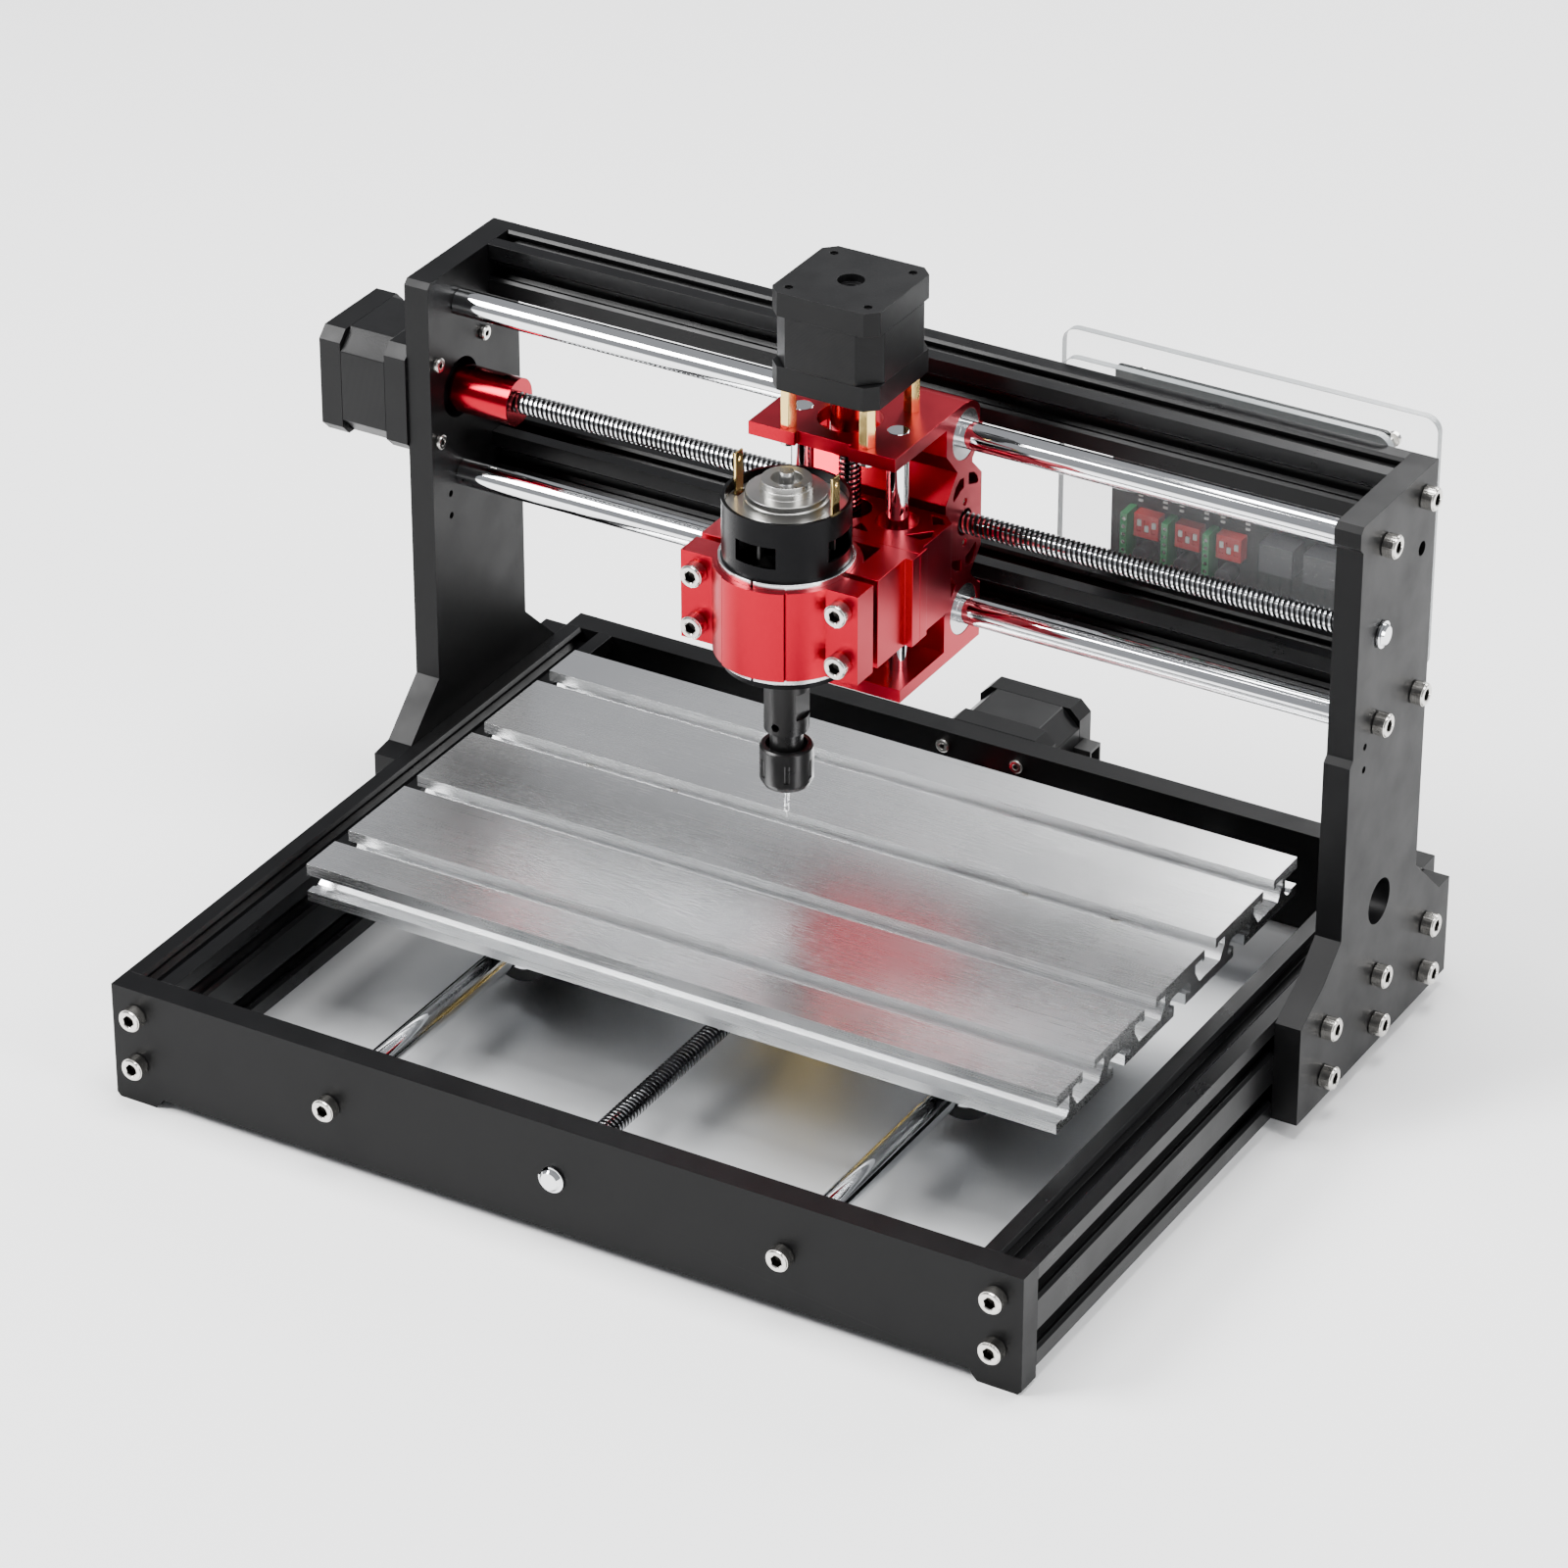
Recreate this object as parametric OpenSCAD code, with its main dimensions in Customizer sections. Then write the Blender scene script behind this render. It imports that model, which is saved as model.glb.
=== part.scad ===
// Desktop gantry CNC router: open aluminium base, T-slot table, red carriage and a 775 class spindle.
// Origin: centre of the rectangle of feet, on the floor. +X along the gantry, +Y to the back, +Z up.

/* [Base] */
// Outer width of the front and rear plates
base_w = 360; // [340:1:440]
// Length of the side rails between the plates
rail_len = 290; // [280:1:360]
// Thickness of the front and rear plates
end_plate_t = 10; // [8:0.5:12]
// Height of the side rails above the floor
rail_lift = 6; // [5.5:0.5:9]
// Height of the feet under the end plates
foot_h = 4; // [3:0.5:4.5]
// Width of each foot
foot_w = 18; // [14:1:26]
// Thickness of the sheet that closes the base
base_sheet_t = 1.5; // [1:0.25:1.5]

/* [Extrusions] */
// Side of the 20 x 20 beams and narrow side of the 20 x 40 rails
ext_s = 20; // [20:0.5:22]
// Slot opening at the face
slot_mouth_w = 8.4; // [8:0.1:9]
// Slot opening between the lips
slot_neck_w = 6.2; // [5.6:0.1:6.6]
// Slot depth
slot_d = 6; // [5.5:0.1:6.2]
// Slot width behind the lips
slot_inner_w = 11; // [10.6:0.1:11.6]
// Lip thickness
slot_lip_t = 2.2; // [2:0.1:2.4]

/* [Gantry] */
// Height of the gantry above the floor
gantry_h = 226; // [216:1:250]
// Thickness of the gantry side plates
side_t = 10; // [8:0.5:12]
// Depth of the side plate column
column_d = 60; // [56:1:70]
// Rear face of the column behind the base centre
column_rear = 116; // [110:1:122]
// Height of the side plate foot
side_foot_h = 45; // [42:1:50]
// Foot reach ahead of the column
foot_front = 29.5; // [26:0.5:34]
// Foot reach behind the column
foot_rear = 30; // [26:0.5:31]
// Bottom of the lower beam above the floor
lower_beam_z = 130; // [126:1:134]
// Diameter of the cable hole in the right side plate
cable_hole_d = 17; // [14:0.5:20]
// Spacing of the limit switch holes
switch_pitch = 9; // [8:0.5:9.5]

/* [Guides] */
// Diameter of the X and Y guide rods
rod_d = 10; // [9:0.5:10.5]
// Diameter of the Z guide rods
z_rod_d = 8; // [7:0.5:8.5]
// Diameter of the lead screws
screw_d = 8; // [7:0.5:8.5]
// Height of the upper X rod above the lower one
x_rod_pitch = 69; // [66:1:74]
// Height midway between the X rods
x_axis_z = 177; // [174:1:180]
// X rods ahead of the column rear face
x_rod_inset = 40; // [39:0.5:42]
// Distance between the Y rods
y_rod_pitch = 180; // [150:1:200]
// Height of the Y rods and the Y screw
y_axis_z = 25; // [25:0.5:26]
// Distance between the Z rods
z_rod_pitch = 38; // [37:0.5:40]

/* [Table] */
// Table length along X
table_w = 300; // [270:1:310]
// Table depth along Y
table_d = 180; // [174:1:200]
// Table thickness
table_t = 15; // [15:0.5:16]
// Underside of the table above the floor
table_z = 48; // [48:0.5:50]
// Table centre behind the base centre
table_y = 13; // [0:1:20]
// Distance between table slots
table_slot_pitch = 45; // [42:0.5:46]
// Width of the table slots
table_slot_w = 8.4; // [6:0.1:9]
// Bearing blocks in from the table edge
block_inset = 42; // [34:1:46]

/* [Carriage] */
// Carriage width along X
carriage_w = 58; // [58:1:64]
// Thickness of the carriage arms
arm_t = 5; // [4:0.5:6]
// Height of the brass standoffs under the Z motor
standoff_h = 15.5; // [14:0.5:18]
// Z axis ahead of the X rods
z_axis_inset = 30.5; // [30:0.5:32]

/* [Spindle] */
// Spindle can diameter
can_d = 44.9; // [42:0.1:45]
// Thickness of the steel flux ring
flux_t = 1.3; // [1:0.1:1.5]
// Spindle axis ahead of the Z screw
spindle_inset = 43.5; // [43:0.5:46]
// Height of the spindle holder
holder_h = 34; // [30:1:36]
// Underside of the spindle holder above the floor
holder_z = 155; // [152:1:158]
// Width of the spindle holder
holder_w = 70; // [70:1:74]
// Length of the cutter below the collet nut
cutter_len = 15.5; // [10:0.5:16]
// Diameter of the cutter
cutter_d = 2; // [1.5:0.1:3]

/* [Motors] */
// Stepper motor width
motor_w = 42.3; // [40:0.1:42.3]
// Stepper motor length
motor_len = 37; // [34:1:40]

/* [Fits] */
// Radial clearance of a rod in its bearing and a screw in its nut
run_gap = 0.05; // [0.03:0.01:0.08]
// Radial clearance of a part seated in its bore
seat_gap = 0.02; // [0.01:0.01:0.04]
// Radial clearance of a bolt in its hole
bolt_gap = 0.15; // [0.1:0.05:0.25]

/* [Hidden] */
$fn = 64;
tiny = 0.01;
ring_gap = 3 * seat_gap;

// Colours
black_satin = [0.07, 0.07, 0.075];
red_anodised = [0.72, 0.06, 0.08];
bright_steel = [0.80, 0.81, 0.83];
bare_aluminium = [0.78, 0.79, 0.80];
brass = [0.83, 0.66, 0.28];
clear_sheet = [0.92, 0.95, 0.96, 0.35];

// Extrusion
ext_l = 2 * ext_s;
ext_bore_d = 5.1;
rail_top = rail_lift + ext_l;

// Base
base_d = rail_len + 2 * end_plate_t;
front_y = -base_d / 2;
rear_y = base_d / 2;
rail_front = -rail_len / 2;
rail_rear = rail_len / 2;
rail_x = base_w / 2 - ext_s / 2;
foot_x = base_w / 2 - foot_w / 2;
foot_hole_d = 4.2;
foot_hole_depth = 8;

// Cap screws, M5 and M3
m5_d = 5;
m5_head_d = 8.5;
m5_head_h = 5;
m5_key_w = 4;
m3_d = 3;
m3_head_d = 5.5;
m3_head_h = 2;
m3_key_w = 2;
bolt_hole_d = m5_d + 2 * bolt_gap;
small_hole_d = m3_d + 2 * bolt_gap;

// Gantry
beam_y = column_rear - ext_s / 2;
column_front = column_rear - column_d;
top_beam_z = gantry_h - ext_s;
spare_hole_z = top_beam_z - ext_s / 2;
right_knee = [12.5, 9];
left_knee = [20, 1.2];
side_x = base_w / 2;
side_outer = side_x + side_t;
step_in = 2.3;
step_top = gantry_h - 10;
step_bottom = lower_beam_z + 6;
side_foot_front = column_front - foot_front;
side_foot_rear = column_rear + foot_rear;
foot_bolt_pitch = 40;
foot_bolt_y = (side_foot_front + side_foot_rear) / 2;
cable_hole_y = column_rear - column_d / 2;
cable_hole_z = rail_top + 20;
switch_y = column_front + 11.5;
switch_z = lower_beam_z + 3;
switch_hole_d = 2.6;

// X and Y guides
x_rod_y = column_rear - x_rod_inset;
x_rod_z = [x_axis_z - x_rod_pitch / 2, x_axis_z + x_rod_pitch / 2];
y_rod_x = y_rod_pitch / 2;
bearing_wall = 4.5;
rod_bearing_d = rod_d + 2 * bearing_wall;
rod_bearing_l = 29;
z_bearing_d = z_rod_d + 7;
z_bearing_l = 24;
screw_bearing_d = 22;
screw_bearing_t = 7;
stub_out = 2.5;
clip_t = 0.8;

// Motors
motor_cap_l = 9;
motor_pilot_d = 22;
motor_pilot_h = 2;
motor_pitch = 31;
motor_shaft_d = 5;
motor_bore_d = motor_shaft_d + 0.8;
cap_chamfer = 4.15;
stator_chamfer = 7.3;
pilot_hole_d = motor_pilot_d + 1;
coupler_d = 18;
z_coupler_d = 14;
coupler_l = 25;
coupler_gap = 2.5;
shaft_gap = 0.5;
x_coupler_end = -side_x + coupler_l;
y_coupler_end = rail_rear - coupler_l;

// Table
table_top = table_z + table_t;
table_slots = [for (i = [-1.5:1:1.5]) i * table_slot_pitch];
under_slots = [for (i = [-1:1:1]) i * table_slot_pitch];
block_w = 28;
block_l = 30;
block_y = table_d / 2 - block_inset - block_l / 2;
wing_w = 44;
wing_t = 5;
wing_reach = wing_w / 2 - 4.2;
m4_d = 4;
m4_head_d = 7;
m4_head_h = 4;
table_screw_depth = 8;
nut_flange_d = 22;
nut_flange_t = 3.5;
nut_body_d = 10.2;
nut_l = 15;
nut_pin_r = 8;

// Carriage
ring_wall = 2.5;
ring_r = rod_bearing_d / 2 + ring_wall;
carriage_rear = x_rod_y + ring_r;
carriage_wall = x_rod_y - 14;
z_axis_y = x_rod_y - z_axis_inset;
arm_top = x_rod_z[1] + ring_r + 0.5;
arm_bottom = x_rod_z[0] - ring_r - 4;
top_arm_front = z_axis_y - 20;
bottom_arm_front = z_axis_y - 15;
arm_hole_d = 23;
waist_h = 58;
waist_d = 7;
z_motor_z = arm_top + standoff_h;
z_coupler_z = z_motor_z - coupler_gap - coupler_l;

// Z slide and spindle
spindle_y = z_axis_y - spindle_inset;
can_r = can_d / 2;
flux_r = can_r + flux_t;
rotor_r = can_r - 7.45;
fan_r = can_r - 3.45;
fan_hub_r = 7;
terminal_x = can_r - 3.45;
cap_step_r = can_r - 7.65;
holder_top = holder_z + holder_h;
holder_seam = z_axis_y - 17.8;
flange_t = 5.2;
flange_w = holder_w + 6;
clamp_gap = 3.2;
clamp_rear = spindle_y - clamp_gap / 2;
clamp_front = clamp_rear - 10.7;
clamp_wall = 1.9;
clamp_r = flux_r + clamp_wall;
clamp_bolt_x = holder_w / 2 - 6.5;
clamp_bolt_pitch = 20;
block_rear = z_axis_y + 11.5;
can_z = holder_z - 5;
can_top = can_z + 63.6;
window_z = holder_top + 7.5;
window_h = 8;
window_angle = 41;
cap_z = can_top - 3.6;
rotor_shaft_d = 5;
holder_rod_d = 16;
holder_rod_z = can_z - 27;
neck_d = 11.8;
neck_l = 12;
nut_z = holder_rod_z - 22;
collet_nut_d = 19;
collet_nut_h = 15.5;
cutter_tip_z = nut_z - cutter_len;

// Control board
board_x = 108.3;
board_z = (top_beam_z + lower_beam_z + ext_s) / 2;
board_screw_pitch = 97;
board_screw_x = board_x + 0.7;
mount_sheet = [127.5, top_beam_z - lower_beam_z + 26];
cover_sheet = [146.5, mount_sheet[1] - 2];
cover_x = board_x - 2;
sheet_t = 3;
pcb = [106, 90];
pcb_x = board_x + 3.5;
pcb_t = 1.6;
mount_sheet_y = column_rear;
pcb_y = mount_sheet_y + sheet_t + 11;
cover_y = pcb_y + pcb_t + 7;
standoff_d = 5.5;

// ---- Shared shapes ----

// One extrusion slot, opening towards +Y at y = 0
module slot_profile() {
    mouth = slot_mouth_w / 2;
    neck = slot_neck_w / 2;
    inner = slot_inner_w / 2;
    taper = slot_d - slot_lip_t - 1.8;
    polygon([
        [-mouth, tiny], [mouth, tiny], [neck, -(mouth - neck)], [neck, -slot_lip_t],
        [inner, -slot_lip_t], [inner, -slot_lip_t - 1.8], [inner - taper, -slot_d],
        [taper - inner, -slot_d], [-inner, -slot_lip_t - 1.8], [-inner, -slot_lip_t],
        [-neck, -slot_lip_t], [-neck, -(mouth - neck)]
    ]);
}

// 20 x 40 extrusion section, narrow side along X, centred
module extrusion_section() {
    cell = ext_s / 2;
    difference() {
        square([ext_s, ext_l], center = true);
        for (side = [0, 180]) rotate(side) translate([0, ext_l / 2]) slot_profile();
        for (side = [-90, 90], offset_y = [-cell, cell])
            translate([0, offset_y]) rotate(side) translate([0, cell]) slot_profile();
        for (offset_y = [-cell, cell]) translate([0, offset_y]) circle(d = ext_bore_d);
    }
}

// 20 x 20 extrusion section, centred
module square_section() {
    difference() {
        square(ext_s, center = true);
        for (side = [0:90:270]) rotate(side) translate([0, ext_s / 2]) slot_profile();
        circle(d = ext_bore_d);
    }
}

// Lays a section drawn in X and Y along +X, with section X along world Y and section Y up
module along_x(length) {
    rotate([90, 0, 90]) linear_extrude(length) children();
}

// Lays a section drawn in X and Y along +Y, with section X along world -X and section Y up
module along_y(length) {
    rotate([90, 0, 180]) linear_extrude(length) children();
}

// Cap screw with its head resting on z = 0 and its shank going down
module cap_screw(d, head_d, head_h, key_w, shank) {
    difference() {
        union() {
            cylinder(d = head_d, h = head_h);
            translate([0, 0, -shank]) cylinder(d = d, h = shank + tiny);
        }
        translate([0, 0, head_h * 0.45]) cylinder(d = key_w / cos(30), h = head_h, $fn = 6);
    }
}

module m5_screw(shank) {
    cap_screw(m5_d, m5_head_d, m5_head_h, m5_key_w, shank);
}

module m3_screw(shank) {
    cap_screw(m3_d, m3_head_d, m3_head_h, m3_key_w, shank);
}

// Turns local +Z to face +X, -X, +Y or -Y
module facing(axis) {
    turn = axis == "+x" ? [0, 90, 0] : axis == "-x" ? [0, -90, 0] : axis == "+y" ? [-90, 0, 0] : [90, 0, 0];
    rotate(turn) children();
}

module ring(outer_d, inner_d, h) {
    difference() {
        cylinder(d = outer_d, h = h);
        translate([0, 0, -1]) cylinder(d = inner_d, h = h + 2);
    }
}

// Linear ball bearing shell with its two retaining grooves, lying along +Z
module linear_bearing(outer_d, inner_d, h) {
    groove = 0.4;
    difference() {
        ring(outer_d, inner_d + 2 * run_gap, h);
        for (z = [3, h - 4.2]) translate([0, 0, z]) ring(outer_d + 2, outer_d - 2 * groove, 1.2);
    }
}

// Four places of the motor bolt square
module motor_square() {
    for (x = [-1, 1], y = [-1, 1]) translate([x * motor_pitch / 2, y * motor_pitch / 2, 0]) children();
}

module chamfered_square(side, chamfer) {
    half = side / 2;
    inner = half - chamfer;
    polygon([
        [-half, -inner], [-inner, -half], [inner, -half], [half, -inner],
        [half, inner], [inner, half], [-inner, half], [-half, inner]
    ]);
}

// Motor end caps: mounting face at z = 0, body going down
module motor_caps() {
    difference() {
        union() {
            translate([0, 0, -motor_cap_l]) linear_extrude(motor_cap_l) chamfered_square(motor_w, cap_chamfer);
            cylinder(d = motor_pilot_d, h = motor_pilot_h);
        }
        translate([0, 0, -motor_cap_l - 1]) cylinder(d = motor_bore_d, h = motor_cap_l + motor_pilot_h + 2);
        motor_square() translate([0, 0, -5]) cylinder(d = m3_d + 2 * seat_gap, h = 5 + 1);
    }
    difference() {
        translate([0, 0, -motor_len]) linear_extrude(motor_cap_l) chamfered_square(motor_w, cap_chamfer);
        translate([0, 0, -motor_len - 1]) cylinder(d = motor_bore_d, h = motor_cap_l + 2);
        translate([0, 0, -motor_len - 1]) cylinder(d = 9.5, h = 4);
        motor_square() translate([0, 0, -motor_len - 1]) cylinder(d = m3_d, h = 5);
    }
}

module motor_stator() {
    stack_l = motor_len - 2 * motor_cap_l;
    difference() {
        translate([0, 0, -motor_cap_l - stack_l]) linear_extrude(stack_l)
            chamfered_square(motor_w, stator_chamfer);
        translate([0, 0, -motor_len]) cylinder(d = motor_bore_d, h = motor_len);
    }
}

// Motor shaft, reaching the given length past the mounting face
module motor_shaft(reach) {
    translate([0, 0, -motor_len + 6]) cylinder(d = motor_shaft_d, h = motor_len - 6 + reach);
}

// Six way socket on the side of the rear cap, facing +Y
module motor_socket() {
    translate([-8, motor_w / 2, -motor_len + 5]) difference() {
        cube([16, 7, 8.5]);
        translate([1.2, 2, 1.2]) cube([13.6, 7, 6.1]);
    }
}

// Rigid coupler, lower end at z = 0: motor shaft enters from the top, screw from below
module coupler(outer_d) {
    difference() {
        cylinder(d = outer_d, h = coupler_l);
        translate([0, 0, -1]) cylinder(d = screw_d + 2 * seat_gap, h = coupler_l / 2 + 1);
        translate([0, 0, coupler_l / 2 - tiny]) cylinder(d = motor_shaft_d + 2 * seat_gap, h = coupler_l);
        for (z = [5, coupler_l - 5]) translate([0, 0, z]) facing("+x") cylinder(d = 3, h = outer_d);
    }
}

// Screw end ring clip, lying on z = 0
module ring_clip() {
    difference() {
        ring(screw_d + 1.8, screw_d + 2 * seat_gap, clip_t);
        translate([0, -screw_d, clip_t / 2]) cube([screw_d * 0.7, screw_d * 2, clip_t + 1], center = true);
    }
}

// Brass nut with a round flange, flange face at z = 0, body going down
module brass_nut() {
    difference() {
        union() {
            translate([0, 0, -nut_flange_t]) cylinder(d = nut_flange_d, h = nut_flange_t);
            translate([0, 0, -nut_l]) cylinder(d = nut_body_d, h = nut_l);
        }
        translate([0, 0, -nut_l - 1]) cylinder(d = screw_d + 2 * run_gap, h = nut_l + 2);
        for (a = [0:90:270]) rotate(a) translate([nut_pin_r, 0, -nut_flange_t - 1]) cylinder(d = 3.2, h = 6);
    }
}

// ---- Base ----

// Outline of an end plate in X and Z, with a foot at each lower corner
module end_plate_outline() {
    half = base_w / 2;
    foot_in = half - foot_w;
    round_r = 1.5;
    polygon([
        [-half, rail_top], [-half, round_r], [-half + round_r, 0], [-foot_in - round_r, 0],
        [-foot_in, round_r], [-foot_in + round_r, foot_h], [foot_in - round_r, foot_h],
        [foot_in, round_r], [foot_in + round_r, 0], [half - round_r, 0], [half, round_r], [half, rail_top]
    ]);
}

// Places of the four rail bolts of an end plate
module rail_bolt_places() {
    for (side = [-1, 1], level = [0.5, 1.5])
        translate([side * rail_x, 0, rail_lift + level * ext_s]) children();
}

module y_rod_places() {
    for (side = [-1, 1]) translate([side * y_rod_x, 0, y_axis_z]) children();
}

module end_plate_blank(y) {
    difference() {
        translate([0, y, 0]) along_y_plate(end_plate_t) end_plate_outline();
        rail_bolt_places() translate([0, y - 1, 0]) facing("+y") cylinder(d = bolt_hole_d, h = end_plate_t + 2);
        y_rod_places() translate([0, y - 1, 0]) facing("+y") cylinder(d = bolt_hole_d, h = end_plate_t + 2);
        for (side = [-1, 1]) translate([side * foot_x, y + end_plate_t / 2, -1])
            cylinder(d = foot_hole_d, h = foot_hole_depth + 1);
    }
}

// Stands an X and Z outline up, going from y = 0 to y = t
module along_y_plate(t) {
    translate([0, t, 0]) rotate([90, 0, 0]) linear_extrude(t) children();
}

module front_plate() {
    color(black_satin) difference() {
        end_plate_blank(front_y);
        translate([0, front_y - 1, y_axis_z]) facing("+y") cylinder(d = screw_d + 1, h = end_plate_t + 2);
        translate([0, rail_front - screw_bearing_t, y_axis_z]) facing("+y")
            cylinder(d = screw_bearing_d + 2 * seat_gap, h = screw_bearing_t + 1);
    }
}

module rear_plate() {
    color(black_satin) difference() {
        end_plate_blank(rail_rear);
        translate([0, rail_rear - 1, y_axis_z]) facing("+y") cylinder(d = pilot_hole_d, h = end_plate_t + 2);
        translate([0, rail_rear - 1, y_axis_z]) facing("+y") motor_square()
            cylinder(d = small_hole_d, h = end_plate_t + 2);
    }
}

module side_rails() {
    color(black_satin) for (side = [-1, 1])
        translate([side * rail_x, rail_rear, rail_lift + ext_s]) rotate([90, 0, 0])
            linear_extrude(rail_len) extrusion_section();
}

module base_sheet() {
    sheet_w = base_w - 4;
    color(bare_aluminium) translate([-sheet_w / 2, rail_front, rail_lift - base_sheet_t])
        cube([sheet_w, rail_len, base_sheet_t]);
}

module base_bolts() {
    shank = end_plate_t + 12;
    color(bright_steel) {
        rail_bolt_places() translate([0, front_y, 0]) facing("-y") m5_screw(shank);
        rail_bolt_places() translate([0, rear_y, 0]) facing("+y") m5_screw(shank);
        y_rod_places() translate([0, front_y, 0]) facing("-y") m5_screw(shank);
        y_rod_places() translate([0, rear_y, 0]) facing("+y") m5_screw(shank);
    }
}

// ---- Gantry ----

// Side plate outline in Y and Z. The knee of its front slant is given as reach and rise.
module side_outline(knee) {
    corner = 2;
    polygon([
        [side_foot_front, rail_lift], [side_foot_rear, rail_lift], [side_foot_rear, side_foot_h],
        [side_foot_rear - 9, side_foot_h], [column_rear, side_foot_h + 20],
        [column_rear, gantry_h], [column_front + corner, gantry_h], [column_front, gantry_h - corner],
        [column_front, side_foot_h + 20], [column_front - knee[0], side_foot_h + knee[1]],
        [side_foot_front, side_foot_h]
    ]);
}

// Places of the six foot bolts, in Y and Z
module foot_bolt_places() {
    for (step = [-1, 0, 1], level = [0.5, 1.5])
        translate([0, foot_bolt_y + step * foot_bolt_pitch, rail_lift + level * ext_s]) children();
}

// Places of one bolt for each beam end
module beam_bolt_places() {
    for (z = [top_beam_z, lower_beam_z]) translate([0, beam_y, z + ext_s / 2]) children();
}

module x_rod_places() {
    for (z = x_rod_z) translate([0, x_rod_y, z]) children();
}

// Side plate with every hole that both sides share, from x = 0 to x = side_t
module side_blank(knee) {
    through = side_t + 2;
    difference() {
        along_x(side_t) side_outline(knee);
        foot_bolt_places() translate([-1, 0, 0]) facing("+x") cylinder(d = bolt_hole_d, h = through);
        beam_bolt_places() translate([-1, 0, 0]) facing("+x") cylinder(d = bolt_hole_d, h = through);
        x_rod_places() translate([-1, 0, 0]) facing("+x") cylinder(d = bolt_hole_d, h = through);
        for (z = [switch_z, switch_z + switch_pitch])
            translate([-1, switch_y, z - 5]) facing("+x") cylinder(d = switch_hole_d, h = through);
    }
}

// Long shallow recess in the front edge, in Y and Z
module front_recess() {
    polygon([
        [column_front - 1, step_top + step_in], [column_front, step_top + step_in],
        [column_front + step_in, step_top], [column_front + step_in, step_bottom],
        [column_front, step_bottom - step_in], [column_front - 1, step_bottom - step_in]
    ]);
}

module right_gantry_plate() {
    color(black_satin) difference() {
        translate([side_x, 0, 0]) side_blank(right_knee);
        translate([side_x - 1, 0, 0]) along_x(side_t + 2) front_recess();
        translate([side_x - 1, beam_y, spare_hole_z]) facing("+x") cylinder(d = bolt_hole_d, h = side_t + 2);
        translate([side_x - 1, cable_hole_y, cable_hole_z]) facing("+x") cylinder(d = cable_hole_d, h = side_t + 2);
        translate([side_x - 1, x_rod_y, x_axis_z]) facing("+x") cylinder(d = screw_d + 1, h = side_t + 2);
        translate([side_x - 1, x_rod_y, x_axis_z]) facing("+x")
            cylinder(d = screw_bearing_d + 2 * seat_gap, h = screw_bearing_t + 1);
    }
}

module left_gantry_plate() {
    color(black_satin) difference() {
        translate([-side_outer, 0, 0]) side_blank(left_knee);
        translate([-side_outer - 1, x_rod_y, x_axis_z]) facing("+x") {
            cylinder(d = pilot_hole_d, h = side_t + 2);
            motor_square() cylinder(d = small_hole_d, h = side_t + 2);
        }
    }
}

module gantry_beams() {
    color(black_satin) for (z = [lower_beam_z, top_beam_z])
        translate([-side_x, beam_y, z + ext_s / 2]) along_x(base_w) square_section();
}

module guide_rods() {
    bolt_depth = 13;
    color(bright_steel) {
        x_rod_places() difference() {
            translate([-side_x, 0, 0]) facing("+x") cylinder(d = rod_d, h = base_w);
            for (side = [-1, 1]) translate([side * side_x, 0, 0]) facing(side < 0 ? "+x" : "-x")
                translate([0, 0, -1]) cylinder(d = m5_d + 2 * seat_gap, h = bolt_depth + 1);
        }
        y_rod_places() difference() {
            translate([0, rail_front, 0]) facing("+y") cylinder(d = rod_d, h = rail_len);
            translate([0, rail_front - 1, 0]) facing("+y") cylinder(d = m5_d + 2 * seat_gap, h = bolt_depth + 1);
            translate([0, rail_rear + 1, 0]) facing("-y") cylinder(d = m5_d + 2 * seat_gap, h = bolt_depth + 1);
        }
    }
}

module gantry_bolts() {
    end_shank = side_t + 12;
    foot_shank = side_t + slot_lip_t + 2.5;
    color(bright_steel) for (side = [-1, 1]) {
        way = side < 0 ? "-x" : "+x";
        beam_bolt_places() translate([side * side_outer, 0, 0]) facing(way) m5_screw(end_shank);
        x_rod_places() translate([side * side_outer, 0, 0]) facing(way) m5_screw(end_shank);
        foot_bolt_places() translate([side * side_outer, 0, 0]) facing(way) m5_screw(foot_shank);
    }
}

// Square nuts behind the slot lips: twelve for the feet, four for the board
module slot_nuts() {
    nut_w = 9.6;
    nut_t = 2.6;
    color(bright_steel) {
        for (side = [-1, 1]) foot_bolt_places()
            translate([side * (side_x - slot_lip_t - nut_t / 2), 0, 0]) difference() {
                cube([nut_t, nut_w, nut_w - 2.6], center = true);
                facing("+x") cylinder(d = m5_d + 2 * seat_gap, h = nut_t + 2, center = true);
            }
        board_screw_places() translate([0, column_rear - slot_lip_t - nut_t / 2, 0]) difference() {
            cube([nut_w, nut_t, nut_w - 2.6], center = true);
            facing("+y") cylinder(d = m4_d + 2 * seat_gap, h = nut_t + 2, center = true);
        }
    }
}

// ---- Frame motors and screw ends ----

module at_x_motor() {
    translate([-side_outer, x_rod_y, x_axis_z]) rotate([0, 0, 180]) rotate([0, -90, 0]) rotate(180) children();
}

module at_y_motor() {
    translate([0, rear_y, y_axis_z]) rotate([90, 0, 0]) rotate(-90) children();
}

module at_z_motor() {
    translate([0, z_axis_y, z_motor_z]) rotate([180, 0, 0]) rotate(180) children();
}

module frame_motor_caps() {
    color(black_satin) {
        at_x_motor() motor_caps();
        at_y_motor() motor_caps();
    }
}

module frame_motor_stators() {
    color(black_satin) {
        at_x_motor() motor_stator();
        at_y_motor() motor_stator();
    }
}

module motor_sockets() {
    color(black_satin) {
        at_x_motor() motor_socket();
        at_y_motor() motor_socket();
    }
}

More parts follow.
